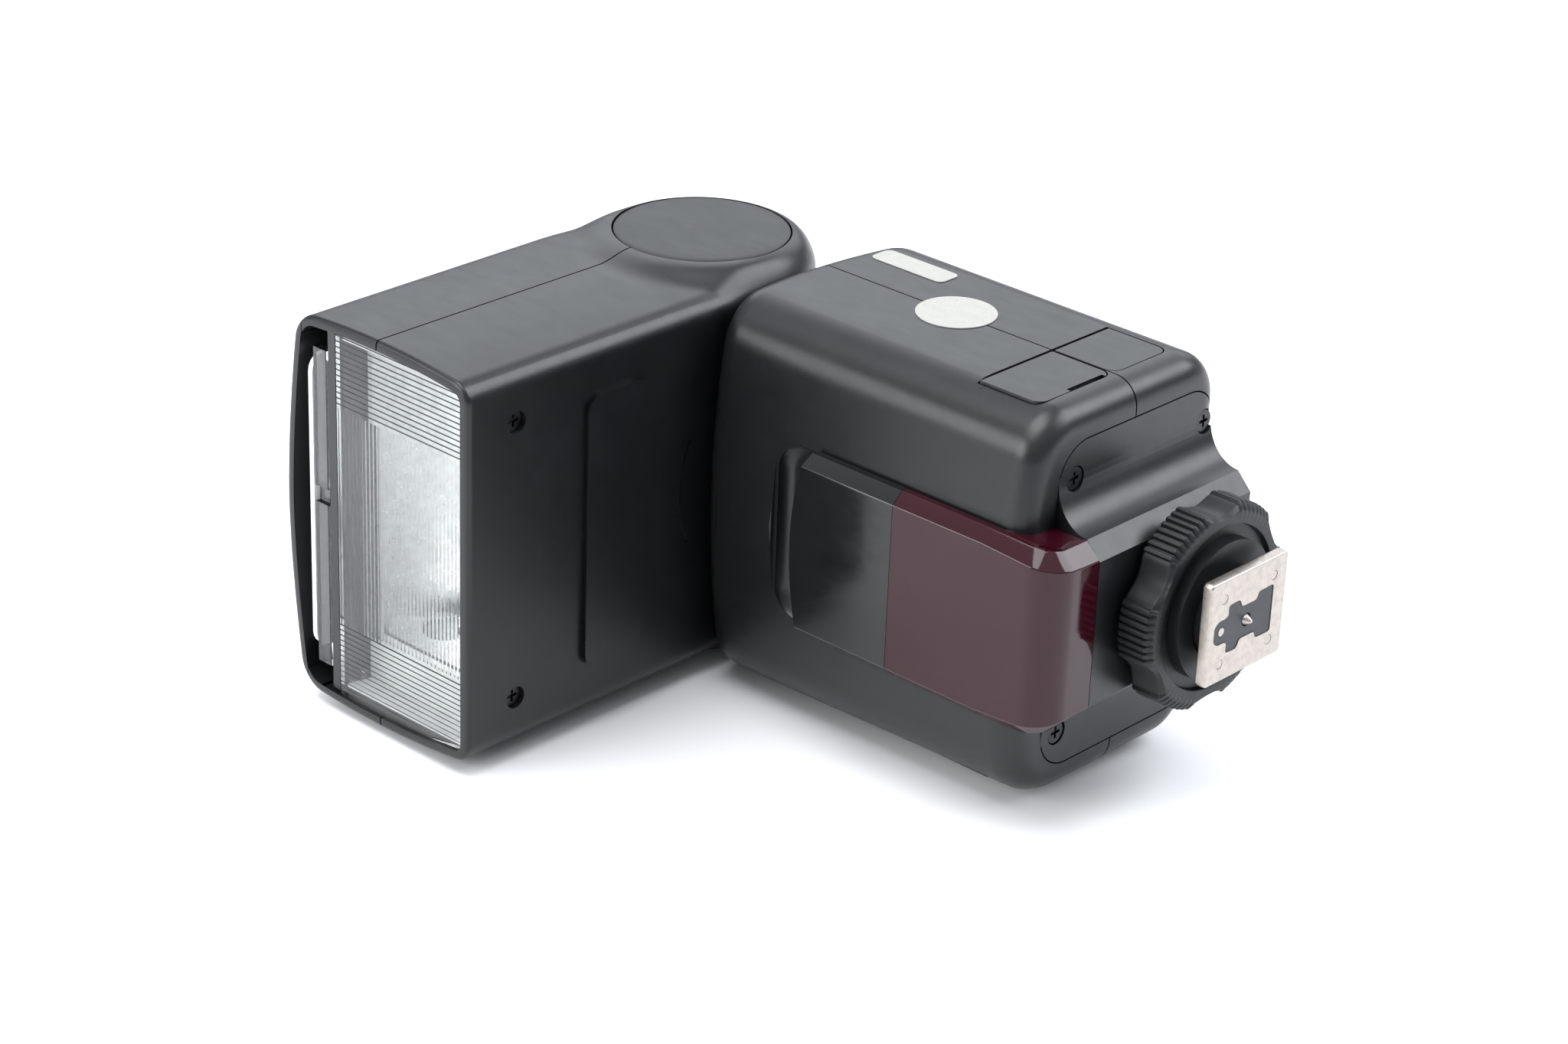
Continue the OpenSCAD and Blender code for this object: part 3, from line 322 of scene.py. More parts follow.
BODY_HW = cad_box("rear_shell")[1][0]
BODY_REAR = cad_box("rear_shell")[1][1]
BODY_END = cad_box("rear_shell")[0][2]
BODY_FRONT = -32.0
BODY_TOP = cad_box("front_shell")[1][2]
SPLIT = cad_box("front_shell")[1][1]
HEAD_FRONT = cad_box("head_lower_shell")[0][1]
UNDER = cad_box("head_lower_shell")[0][2]
HEAD_TOP = cad_box("head_top_cover")[1][2]
SEAM = cad_box("head_lower_shell")[1][2]
COVER_Z = cad_box("head_top_cover")[0][2]
BARREL_BACK = cad_box("head_upper_shell")[1][1]
AXIS_Y = float(np.mean([c[1] for c in cad_box("tilt_axle")]))
AXIS_Z = float(np.mean([c[2] for c in cad_box("tilt_axle")]))
BOSS_R = AXIS_Z - UNDER
CAP_X = cad_box("hinge_cap_left")[1][0]
CAP_R = (cad_box("hinge_cap_left")[1][1] - cad_box("hinge_cap_left")[0][1]) / 2
BOSS_X = CAP_X - 0.4
LENS_LO, LENS_HI = cad_box("fresnel_lens")
PANEL_FRONT = cad_box("front_panel")[0][1]
PANEL_TOP = cad_box("front_panel")[1][2]
WINDOW_TOP = cad_box("sensor_window")[1][2]
PLATEAU = cad_box("sensor_window")[0][2]
WINDOW_END = cad_box("sensor_window")[1][1]
PANEL_HW = 14.9
BEVEL = cad_box("front_panel")[1][0] - PANEL_HW
RECESS_HW = PANEL_HW + BEVEL + 0.15
WALL = 2.0
HEAD_WALL = 1.8


# ---------------------------------------------------------------- mesh helpers

def lay(points):
    """Upright millimetres into the row frame's metres."""
    p = np.asarray(points, float)
    return np.stack([-p[:, 2], p[:, 1], p[:, 0]], axis=1) * MM


def new_object(name, points, faces):
    mesh = bpy.data.meshes.new(name)
    mesh.from_pydata(lay(points).tolist(), [], [list(map(int, f)) for f in faces])
    mesh.update()
    obj = bpy.data.objects.new(name, mesh)
    scene.collection.objects.link(obj)
    return obj


def outward(obj):
    """Turns every face of a closed mesh outward."""
    bm = bmesh.new()
    bm.from_mesh(obj.data)
    bmesh.ops.remove_doubles(bm, verts=bm.verts, dist=1e-7)
    bmesh.ops.recalc_face_normals(bm, faces=bm.faces)
    bm.to_mesh(obj.data)
    bm.free()
    return obj


def turned(points2d, axis, height):
    """2-D points as a slice at height: (y, z) for x, (x, z) for y and (x, y) for z."""
    p = np.asarray(points2d, float)
    return np.insert(p, "xyz".index(axis), height, axis=1)


def stack(name, slices, closed=False):
    """A solid through slices of the same number of points; closed joins the last slice to the first."""
    n, count = len(slices[0]), len(slices)
    faces = []
    for k in range(count if closed else count - 1):
        a, b = k * n, (k + 1) % count * n
        faces += [(a + i, a + (i + 1) % n, b + (i + 1) % n, b + i) for i in range(n)]
    if not closed:
        faces += [tuple(range(n)), tuple(range((count - 1) * n, count * n))]
    return outward(new_object(name, np.concatenate(slices), faces))


def prism(name, outline, axis, a, b):
    return stack(name, [turned(outline, axis, a), turned(outline, axis, b)])


def box(name, a, b):
    return prism(name, [(a[0], a[1]), (b[0], a[1]), (b[0], b[1]), (a[0], b[1])], "z", a[2], b[2])


def circle(r, n=64, centre=(0, 0)):
    t = np.arange(n) * 2 * math.pi / n
    return np.stack([centre[0] + r * np.cos(t), centre[1] + r * np.sin(t)], axis=1)


def rod(name, axis, a, b, centre, r, n=64):
    return prism(name, circle(r, n, centre), axis, a, b)


def rounded(x0, y0, x1, y1, r, n=8):
    corners = [((x0 + r, y0 + r), 180), ((x1 - r, y0 + r), 270), ((x1 - r, y1 - r), 0), ((x0 + r, y1 - r), 90)]
    points = []
    for (cx, cy), start in corners:
        for k in range(n + 1):
            t = math.radians(start + 90 * k / n)
            points.append((cx + r * math.cos(t), cy + r * math.sin(t)))
    return np.array(points)


def filleted(points, r, n=5):
    """A closed outline with each corner rounded to about r."""
    p = np.asarray(points, float)
    out = []
    for k in range(len(p)):
        a, b, c = p[k - 1], p[k], p[(k + 1) % len(p)]
        la, lc = np.linalg.norm(a - b), np.linalg.norm(c - b)
        s = min(r, 0.45 * la, 0.45 * lc)
        start, end = b + (a - b) * s / la, b + (c - b) * s / lc
        for i in range(n + 1):
            t = i / n
            out.append((1 - t) ** 2 * start + 2 * t * (1 - t) * b + t * t * end)
    return np.array(out)


def joined(name, objs):
    """Several separate solids as one object, to cut with in one go."""
    bm = bmesh.new()
    for o in objs:
        bm.from_mesh(o.data)
    mesh = bpy.data.meshes.new(name)
    bm.to_mesh(mesh)
    bm.free()
    for o in objs:
        bpy.data.objects.remove(o)
    out = bpy.data.objects.new(name, mesh)
    scene.collection.objects.link(out)
    return out


def copy_of(obj, name):
    out = bpy.data.objects.new(name, obj.data.copy())
    scene.collection.objects.link(out)
    return out


def bake(obj):
    """Applies the object's modifiers to its mesh."""
    graph = bpy.context.evaluated_depsgraph_get()
    mesh = bpy.data.meshes.new_from_object(obj.evaluated_get(graph))
    old = obj.data
    obj.modifiers.clear()
    obj.data = mesh
    bpy.data.meshes.remove(old)


def carve(obj, operation, *cutters):
    """Cuts with, joins or keeps what is inside each cutter in turn, and removes the cutters."""
    for cutter in cutters:
        modifier = obj.modifiers.new("carve", "BOOLEAN")
        modifier.operation, modifier.solver, modifier.object = operation, "EXACT", cutter
    bake(obj)
    for cutter in cutters:
        bpy.data.objects.remove(cutter)


def cut(obj, *cutters):
    carve(obj, "DIFFERENCE", *cutters)


def piece(obj, name, body, slot, replaces=(), smooth=32):
    """Shades a finished mesh, gives it its material and hangs it on its body; smooth is in degrees."""
    obj.name = obj.data.name = name
    mesh = obj.data
    mesh.materials.clear()
    mesh.materials.append(MATERIALS[slot])
    mesh.polygons.foreach_set("material_index", [0] * len(mesh.polygons))
    mesh.polygons.foreach_set("use_smooth", [True] * len(mesh.polygons))
    mesh.set_sharp_from_angle(angle=math.radians(smooth))
    modifier = obj.modifiers.new("normals", "WEIGHTED_NORMAL")
    modifier.keep_sharp, modifier.weight = True, 100
    bake(obj)
    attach(obj, body)
    if replaces:
        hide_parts(*replaces)


def lathe(profile, axis, centre, name, body, slot, replaces, n=72):
    """A turned piece; profile is (radius, place along the axis), from end to end."""
    base = circle(1.0, n)
    slices = [turned(base * max(r, 0.001) + np.array(centre), axis, h) for r, h in profile]
    piece(stack(name, slices), name, body, slot, replaces, smooth=35)


# ---------------------------------------------------------------- smooth forms

def round_max(a, b, r):
    """Where two half-spaces meet, with an outer edge of radius r."""
    return np.minimum(np.maximum(a, b), -r) + np.hypot(np.maximum(a + r, 0), np.maximum(b + r, 0))


def ease(t):
    """A smooth step from 0 to 1."""
    t = np.clip(t, 0, 1)
    return t * t * (3 - 2 * t)


def spread(a, b, edge, fine, coarse):
    """Places from a to b, fine near both ends and coarse between."""
    n, m = max(1, round(edge / fine)), max(1, round((b - a - 2 * edge) / coarse))
    ends = np.linspace(0, edge, n + 1)
    return np.concatenate([a + ends[:-1], np.linspace(a + edge, b - edge, m + 1), b - ends[:-1][::-1]])


def cage(name, xs, ys, zs, field, rounds=16):
    """The surface of a box of grid lines, drawn onto the surface where field is zero."""
    n = [len(xs), len(ys), len(zs)]
    quads = []
    for axis, (a, b) in enumerate([(1, 2), (2, 0), (0, 1)]):
        ia, ib = np.meshgrid(np.arange(n[a] - 1), np.arange(n[b] - 1), indexing="ij")
        for end in (0, n[axis] - 1):
            corners = []
            for da, db in ((0, 0), (1, 0), (1, 1), (0, 1)):
                index = [None] * 3
                index[axis], index[a], index[b] = np.full(ia.shape, end), ia + da, ib + db
                corners.append((index[0] * n[1] + index[1]) * n[2] + index[2])
            quad = np.stack(corners, axis=-1).reshape(-1, 4)
            quads.append(quad if end else quad[:, ::-1])
    used, faces = np.unique(np.concatenate(quads), return_inverse=True)
    i, j, k = used // (n[1] * n[2]), used // n[2] % n[1], used % n[2]
    p = np.stack([np.asarray(xs)[i], np.asarray(ys)[j], np.asarray(zs)[k]], axis=1)
    step = 0.01
    for _ in range(rounds):
        gradient = np.stack([(field(p + d) - field(p - d)) / (2 * step) for d in np.eye(3) * step], axis=1)
        size = np.maximum((gradient ** 2).sum(axis=1), 0.25)
        p = p - (field(p) / size)[:, None] * gradient
    return new_object(name, p, faces.reshape(-1, 4))


FRONT_SLOPE = math.radians(76)
FRONT_EDGE_R, REAR_EDGE_R, SLOPE_EDGE_R = 8, 9, 5
END_EDGE_R, TOP_EDGE_R = 4.6, 4.2
LOWER_EXTRA_R = 2.5
TOP_FRONT_Y, TOP_SPAN = -27.5, 41
TOP_Z, TOP_FALL, TOP_BOW = 94.0, 1.4, 2.1


def body_field(p):
    """Below zero inside the body. Its side that lies down is rounded more towards the foot."""
    x, y, z = np.abs(p[:, 0]), p[:, 1], p[:, 2]
    front = BODY_FRONT - y
    slope = (x - RECESS_HW) * math.cos(FRONT_SLOPE) - (y - BODY_FRONT) * math.sin(FRONT_SLOPE)
    low = ease(-p[:, 0] / 10) * ease((88 - z) / 60)
    plan = round_max(x - BODY_HW, round_max(front, slope, SLOPE_EDGE_R), FRONT_EDGE_R + LOWER_EXTRA_R * low)
    plan = round_max(plan, y - BODY_REAR, REAR_EDGE_R)
    t = np.clip((y - TOP_FRONT_Y) / TOP_SPAN, -0.3, 1.3)
    top = z - (TOP_Z - TOP_FALL * t + 4 * TOP_BOW * t * (1 - t))
    return round_max(round_max(plan, BODY_END - z, END_EDGE_R + low), top, TOP_EDGE_R)


def body_cage(name, inset):
    """The body's form as a mesh, inset from its outside."""
    grow = 0.3 - inset
    xs = spread(-BODY_HW - grow, BODY_HW + grow, 11, 0.75, 1.9)
    ys = spread(BODY_FRONT - grow, BODY_REAR + grow, 12, 0.8, 2.2)
    zs = spread(BODY_END - grow, BODY_TOP + grow, 8, 0.7, 2.5)
    return cage(name, xs, ys, zs, lambda p: body_field(p) + inset)


HEAD_HW, HEAD_FLARE, HEAD_BULGE, HEAD_SPAN = 34.3, 0.6, 1.3, 43
CROWN_FALL, CROWN_HW = 2.7, 31
UNDER_EDGE_R, TOP_EDGE_EXTRA_R, BARREL_EDGE_R, RIM_EDGE_R = 3.4, 1.2, 5.5, 0.9


def head_field(p, front):
    """Below zero inside the head: a crowned box that runs into the hinge barrel."""
    x, y, z = np.abs(p[:, 0]), p[:, 1], p[:, 2]
    rho = np.hypot(y - AXIS_Y, z - AXIS_Z)
    t = np.clip((z - UNDER) / HEAD_SPAN, 0, 1)
    half = HEAD_HW + HEAD_FLARE * t + 4 * HEAD_BULGE * t * (1 - t)
    half = half + (BOSS_X - half) * (1 - ease((rho - CAP_R - 0.6) / 7.0))
    crown = HEAD_TOP - CROWN_FALL * np.clip(x / CROWN_HW, 0, 1.2) ** 1.7
    ridge = AXIS_Z + BOSS_R
    top = ridge + (crown - ridge) * ease((AXIS_Y + 3 - y) / 24)
    outline = np.where(y < AXIS_Y, np.maximum(UNDER - z, z - top), rho - BOSS_R)
    back = ease((y + 32) / 20)
    up = ease((z - AXIS_Z + 8) / 14)
    r = (UNDER_EDGE_R + TOP_EDGE_EXTRA_R * up) * (1 - back) + BARREL_EDGE_R * back
    form = round_max(x - half, outline, r)
    return round_max(form, HEAD_FRONT - front - y, RIM_EDGE_R)


def head_cage(name, inset, front=0.0):
    """The head's form as a mesh, inset from its outside and longer by front ahead of the lens."""
    grow = 0.3 - inset
    xs = spread(-BOSS_X - grow, BOSS_X + grow, 8, 0.7, 2.4)
    box_ys = spread(HEAD_FRONT - front - grow, -36, 2.5, 0.45, 2.2)
    ys = np.concatenate([box_ys, np.linspace(-34.8, BARREL_BACK + grow, 46)])
    zs = spread(UNDER - grow, HEAD_TOP + grow, 8, 0.7, 1.2)
    return cage(name, xs, ys, zs, lambda p: head_field(p, front) + inset)


# ---------------------------------------------------------------- body shells and foot cover

COVER_HW = cad_box("foot_cover")[1][0]
COVER_Y0, COVER_Y1 = cad_box("foot_cover")[0][1], cad_box("foot_cover")[1][1]
SCREWS = [(s * 23.3, y) for s in (-1, 1) for y in (-18.6, 15.3)]
SYNC_LO, SYNC_HI = cad_box("sync_port_cover")
POWER_LO, POWER_HI = cad_box("power_port_cover")
FLAP_TOP = SYNC_HI[2] - 0.2
DOOR_LO, DOOR_HI = cad_box("battery_door")
PLATE_LO, PLATE_HI = cad_box("control_panel")
FLAP_GAP = 0.2
FLAP_DEPTH = 2.6
DOOR_GAP = 0.2
SEAM_HALF = 0.15
JACKS = [((-12, 33.5), 4.1), ((3.2, 33.5), 4.6)]
BUTTONS = [((0, 47), 4), ((-15, 58), 4), ((15, 63), 3), ((15, 53), 3)]
SOCKET_BORE_R = 13.65
RECESS_TOP = 77
WIDE, AHEAD, TALL = 60, -120, 180


def cover_outline(grow):
    return rounded(-COVER_HW - grow, COVER_Y0 - grow, COVER_HW + grow, COVER_Y1 + grow, 7 + grow, n=14)


def recess_cutter():
    """The panel's recess, with a small fillet round its mouth."""
    slices = []
    for depth, grow in ((-1.2, 1.6), (-0.02, 0.62), (0.06, 0.34), (0.2, 0.12), (0.4, 0.0), (0.9, 0.0)):
        outline = rounded(-RECESS_HW - grow, PLATEAU - 8, RECESS_HW + grow, RECESS_TOP + grow, 6 + grow, n=12)
        slices.append(turned(outline, "y", BODY_FRONT + depth))
    return stack("cutter", slices)


def scoop_cutter():
    """The deeper hollow at the head's end of the recess."""
    slices = []
    for depth, grow in ((0.5, 0.0), (1.5, -0.25), (2.6, -0.9), (3.2, -2.0)):
        outline = rounded(-RECESS_HW + 0.6 - grow, 61, RECESS_HW - 0.6 + grow, 76.4 + grow, 5.2, n=12)
        slices.append(turned(outline, "y", BODY_FRONT + depth))
    return stack("cutter", slices)


def flap_pocket(lo, hi):
    """Two cutters: the pocket rounded at its foot end, and its square end."""
    y0, y1 = lo[1] - FLAP_GAP, hi[1] + FLAP_GAP
    z1 = FLAP_TOP + 0.5
    outline = rounded(y0, lo[2] - FLAP_GAP, y1, z1, 2.3, n=6)
    square = [(y0, lo[2] + 4), (y1, lo[2] + 4), (y1, z1), (y0, z1)]
    return [prism("cutter", shape, "x", BODY_HW - FLAP_DEPTH, BODY_HW + 1) for shape in (outline, square)]


def build_body():
    form = body_cage("form", 0.0)
    cavity = body_cage("cavity", WALL)
    solid = [
        box("cutter", (-RECESS_HW - 1.5, BODY_FRONT, PANEL_TOP - 9), (RECESS_HW + 1.5, BODY_FRONT + 4.6, 78.4)),
        box("cutter", (BODY_HW - 3.9, SYNC_LO[1] - 1.8, SYNC_LO[2] - 1.5),
            (BODY_HW, POWER_HI[1] + 1.8, SYNC_HI[2] + 1.8)),
        box("cutter", (-BODY_HW, DOOR_LO[1] - 1.5, 26), (-BODY_HW + 4.8, DOOR_HI[1] + 1.5, 38)),
    ]
    cut(cavity, joined("solids", solid))
    cut(form, cavity)
    cut(form, prism("cutter", cover_outline(0.14), "z", 0, BODY_END + WALL + 0.03))
    cut(form, recess_cutter())
    window_hole = box("cutter", (-PANEL_HW + 1, -36, PLATEAU - 1), (PANEL_HW - 1, BODY_FRONT + 3, WINDOW_TOP - 1.5))
    cut(form, scoop_cutter(), window_hole)
    for lo, hi in ((SYNC_LO, SYNC_HI), (POWER_LO, POWER_HI)):
        cut(form, *flap_pocket(lo, hi))
    cut(form, joined("jacks", [rod("cutter", "x", BODY_HW - 8, BODY_HW, at, r) for at, r in JACKS]))
    door_y0, door_y1 = DOOR_LO[1] - DOOR_GAP, DOOR_HI[1] + DOOR_GAP
    cut(form, box("cutter", (-BODY_HW - 1, door_y0, 28.5), (-BODY_HW + 1.95, door_y1, DOOR_HI[2] + DOOR_GAP)))
    cut(form, box("cutter", (-BODY_HW - 1, door_y0, 25), (-BODY_HW + 3.4, door_y1, 36)))
    cut(form, box("cutter", (-BODY_HW - 1, -20, 36.4), (-BODY_HW + 6, 10.4, 66.8)))
    plate = rounded(PLATE_LO[0] - 0.15, PLATE_LO[2] - 0.15, PLATE_HI[0] + 0.15, PLATE_HI[2] + 0.15, 4)
    cut(form, prism("cutter", plate, "y", BODY_REAR - 0.8, BODY_REAR + 1))
    holes = [rod("cutter", "y", 14, 22, at, r + 0.3) for at, r in BUTTONS]
    holes.append(box("cutter", (-20.3, 14, 41.2), (-9.7, 22, 44.8)))
    cut(form, joined("holes", holes))
    cut(form, rod("cutter", "z", 80, 100, (0, AXIS_Y), SOCKET_BORE_R, n=96))
    rear = copy_of(form, "rear")
    cut(form, box("cutter", (-WIDE, SPLIT - SEAM_HALF, 0), (WIDE, 60, 120)))
    cut(rear, box("cutter", (-WIDE, -60, 0), (WIDE, SPLIT + SEAM_HALF, 120)))
    piece(form, "body_front_shell", "body", "shell_plastic", ["front_shell"])
    piece(rear, "body_rear_shell", "body", "shell_plastic", ["rear_shell"])


def raised_profile():
    """The cover's section across: raised middle, a chamfer and a hollow cove on each side."""
    chamfer_x, chamfer_z, cove = 16.0, 16.5, 7.6
    right = [(13.0, PLATEAU), (chamfer_x, chamfer_z)]
    for k in range(1, 13):
        t = math.radians(90 * k / 12)
        x = chamfer_x + cove * (1 - math.cos(t))
        right.append((x, chamfer_z + (BODY_END - chamfer_z) * math.sin(t)))
    right += [(24.5, BODY_END), (24.5, BODY_END + WALL)]
    return np.array([(-x, z) for x, z in right[::-1]] + right)


def build_foot_cover():
    slab = prism("cover", cover_outline(-0.12), "z", BODY_END - 0.02, BODY_END + WALL)
    form = body_cage("form", 0.0)
    carve(slab, "INTERSECT", form)
    middle = prism("cutter", raised_profile(), "y", COVER_Y0, COVER_Y1 - 0.8)
    carve(slab, "UNION", middle)
    holes = [rod("cutter", "z", BODY_END - 1, BODY_END + 1.2, at, 2.2, n=48) for at in SCREWS]
    holes.append(rod("cutter", "z", PLATEAU - 1, PLATEAU + 4, (0, 0), 8.25, n=96))
    cut(slab, joined("holes", holes))
    cut(slab, joined("bores", [rod("cutter", "z", BODY_END - 1, BODY_END + 4, at, 1.1, n=24) for at in SCREWS]))
    piece(slab, "foot_end_cover", "body", "shell_plastic", ["foot_cover"])


# ---------------------------------------------------------------- window and panel

WINDOW_WALL = 1.7
WINDOW_TURN_R = 6.0


def bar_section(w, c, wall=None):
    """Section of the bevelled bar, as (x, depth behind its front face)."""
    outer = [(w + c, 3.5), (w + c, c + 0.15), (w + c - 0.12, c - 0.1), (w + 0.2, 0.14), (w - 0.15, 0.0)]
    pts = [(-x, d) for x, d in outer] + outer[::-1]
    if wall:
        inner = [(w + c - wall, 3.5), (w + c - wall, c + 0.7), (w - 0.6, wall)]
        pts += [(x, d) for x, d in inner] + [(-x, d) for x, d in inner[::-1]]
    return np.array(pts)


def build_panel():
    slices = [turned(bar_section(PANEL_HW, BEVEL), "z", z) for z in (WINDOW_TOP + 0.08, PANEL_TOP + 1)]
    for s in slices:
        s[:, 1] += PANEL_FRONT
    bar = stack("panel", slices)
    carve(bar, "INTERSECT", rod("cutter", "y", -50, 0, (0, PANEL_TOP - 60), 60, n=256))
    piece(bar, "gloss_front_panel", "body", "gloss_panel", ["front_panel"])


def build_window():
    """The window's section follows the body's front, round the foot-end corner and along the end."""
    r = WINDOW_TURN_R
    path = [(PANEL_FRONT, WINDOW_TOP - 0.02, 0.0)]
    path += [(PANEL_FRONT, z, 0.0) for z in (WINDOW_TOP - 9, PLATEAU + r + 9)]
    for k in range(17):
        a = math.radians(90 * k / 16)
        path.append((PANEL_FRONT + r - r * math.cos(a), PLATEAU + r - r * math.sin(a), a))
    path += [(PANEL_FRONT + r + 2, PLATEAU, math.pi / 2), (WINDOW_END, PLATEAU, math.pi / 2)]
    length = np.cumsum([0] + [math.dist(path[k][:2], path[k + 1][:2]) for k in range(len(path) - 1)])
    slices = []
    for (y, z, a), s in zip(path, length):
        t = ease((s - length[2]) / (length[-1] - length[2]))
        section = bar_section(PANEL_HW - 1.7 * t, BEVEL + 0.6 * t, wall=WINDOW_WALL)
        slices.append(np.array([(x, y + d * math.cos(a), z + d * math.sin(a)) for x, d in section]))
    window = stack("window", slices)
    rows = [(-31.4, 16.9, 19.3, 28.0), (-30.4, 16.7, 17.6, 26.2), (-28.7, 16.4, 16.6, 24.4),
            (WINDOW_END - 0.02, 15.85, 16.4, 23.6)]
    side_walls = []
    for side in (-1, 1):
        wall = []
        for y, x, z0, z1 in rows:
            outer_x, inner_x = side * x, side * (x - WINDOW_WALL)
            wall.append(turned([(inner_x, z0), (outer_x, z0), (outer_x, z1), (inner_x, z1)], "y", y))
        side_walls.append(stack("cutter", wall))
    carve(window, "UNION", *side_walls)
    piece(window, "red_sensor_window", "body", "red_window", ["sensor_window"], smooth=25)


# ---------------------------------------------------------------- foot

def build_ring():
    """Six lobes, each with a hollow and a run of eight ridges."""
    lo, hi = cad_box("lock_ring")
    z0, z1, r0 = lo[2], hi[2], max(hi[0], hi[1])
    points = []
    for lobe in range(6):
        for k in range(13):
            t = k / 12
            depth = 1.9 * (0.5 + math.sin(math.pi * t)) / 1.5
            points.append((60 * lobe + 24 * (t - 0.5), depth))
        for ridge in range(8):
            for at, depth in ((0.06, 0.62), (0.26, 0.06), (0.38, 0.0), (0.6, 0.0), (0.72, 0.06), (0.94, 0.62)):
                points.append((60 * lobe + 13 + 34 * (ridge + at) / 8, depth))
    angles = np.radians([a for a, _ in points])
    depths = np.array([d for _, d in points])
    unit = np.stack([np.cos(angles), np.sin(angles)], axis=1)

    def lobed(grow, z, share=1.0):
        return turned(unit * (r0 - depths * share + grow)[:, None], "z", z)

    def plain(r, z):
        return turned(unit * r, "z", z)

    slices = [
        plain(8.28, z1), lobed(-0.9, z1, 0.8), lobed(-0.35, z1 - 0.15), lobed(0, z1 - 0.6),
        lobed(0, z0 + 1.1), lobed(-0.2, z0 + 0.75), lobed(-1.15, z0 + 0.08, 0.6), lobed(-1.5, z0, 0.4),
        plain(14.9, z0), plain(14.6, z0 + 0.1), plain(14.35, z0 + 1.05), plain(8.28, z0 + 1.05),
    ]
    ring = stack("ring", slices, closed=True)
    piece(ring, "knurled_lock_ring", "lock_ring", "ring_plastic", ["lock_ring"], smooth=30)


INSERT_HALF = [(1.3, -8.75), (2.15, -7.7), (2.15, -5.9), (2.5, -5.2), (4.3, -5.3),
               (4.4, -2.2), (2.9, -1.7), (2.9, 2.3), (4.2, 2.7), (4.3, 6.7)]


def insert_outline(grow):
    right = [(x + grow, y + (grow if y > 3 else -grow if y < -8 else 0)) for x, y in INSERT_HALF]
    return filleted([(-x, y) for x, y in right[::-1]] + right, 0.75)


def build_shoe():
    lo, hi = cad_box("hot_shoe_plate")
    slices = []
    for z, inset in ((0.0, 0.32), (0.08, 0.12), (0.3, 0.0), (1.75, 0.0), (1.93, 0.08), (2.0, 0.25)):
        r = max(0.75 - inset * 0.5, 0.3)
        outline = rounded(lo[0] + inset, lo[1] + inset, hi[0] - inset, hi[1] - inset, r, n=5)
        slices.append(turned(outline, "z", lo[2] + z * (hi[2] - lo[2]) / 2))
    plate = stack("plate", slices)
    cut(plate, prism("cutter", insert_outline(0.06), "z", -1, 3))
    rivets = [rod("cutter", "z", -1, 3, (x, y), 0.87, n=32) for x in (-5.9, 5.9) for y in (-6.6, 6.6)]
    cut(plate, joined("rivets", rivets))
    piece(plate, "nickel_shoe_plate", "body", "nickel", ["hot_shoe_plate"], smooth=40)
    insert = prism("insert", insert_outline(0.0), "z", 0.12, 2.0)
    cut(insert, rod("cutter", "z", -1, 3, (0, 0), 1.2, n=48), rod("cutter", "z", -1, 3, (0, -6.7), 0.85, n=32))
    piece(insert, "shoe_insulator", "body", "insert_plastic", ["shoe_insert"], smooth=40)
    profile = [(0.0, -1.0), (0.22, -1.0), (0.3, -0.93), (1.08, 0.35), (1.1, 0.5),
               (1.1, 5.3), (1.9, 5.35), (1.9, 5.8), (0.0, 5.8)]
    lathe(profile, "z", (0, 0), "centre_contact_pin", "centre_contact", "nickel", ["centre_contact"])


# ---------------------------------------------------------------- port covers

def build_flap(lo, hi, nail, name, body, replaces):
    """A thin plate, rounded at its foot end and square at its hinge; nail adds the slot to lift it by."""
    slices = []
    for x, inset in ((BODY_HW - 1.6, 0.0), (BODY_HW - 0.16, 0.0), (BODY_HW - 0.04, 0.05), (BODY_HW, 0.16)):
        outline = rounded(lo[1] + inset, lo[2] + inset, hi[1] - inset, FLAP_TOP - inset, 2.1, n=6)
        slices.append(turned(outline, "x", x))
    for s in slices:
        square = s[:, 2] > (lo[2] + FLAP_TOP) / 2
        upper = s[square]
        upper[:, 1] = np.where(upper[:, 1] > (lo[1] + hi[1]) / 2, s[:, 1].max(), s[:, 1].min())
        s[square] = upper
    flap = stack("flap", slices)
    if nail:
        cut(flap, box("cutter", (BODY_HW - 0.8, lo[1] + 7.6, lo[2] - 1), (BODY_HW + 1, hi[1] - 1.6, lo[2] + 0.9)))
    piece(flap, name, body, "shell_plastic", replaces)


# ---------------------------------------------------------------- head

SLOT_HW, SLOT_HD, SLOT_R = 17.8, 12.4, 18.0
COVER_BACK = -22.0
HEAD_SCREWS = [(-25.4, HEAD_FRONT + 10.9), (25.4, HEAD_FRONT + 10.9)]


def arc_groove():
    """A thin curved groove in the underside, near the neck."""
    r, width = 23.8, 0.8
    cy = -35.2 + r
    angles = np.radians(np.linspace(-114.8, -65.2, 25))
    outer = [(r * math.cos(a), cy + r * math.sin(a)) for a in angles]
    inner = [((r - width) * math.cos(a), cy + (r - width) * math.sin(a)) for a in angles[::-1]]
    return prism("cutter", outer + inner, "z", UNDER - 1, UNDER + 0.5)


def label_recess():
    """The bare shallow recess across the underside."""
    slices = []
    for depth, grow in ((-1.0, 0.5), (-0.01, 0.12), (0.1, 0.0), (0.35, -0.02)):
        outline = rounded(-25 - grow, -57.4 - grow, 25 + grow, -44.2 + grow, 3, n=8)
        slices.append(turned(outline, "z", UNDER + depth))
    return stack("cutter", slices)


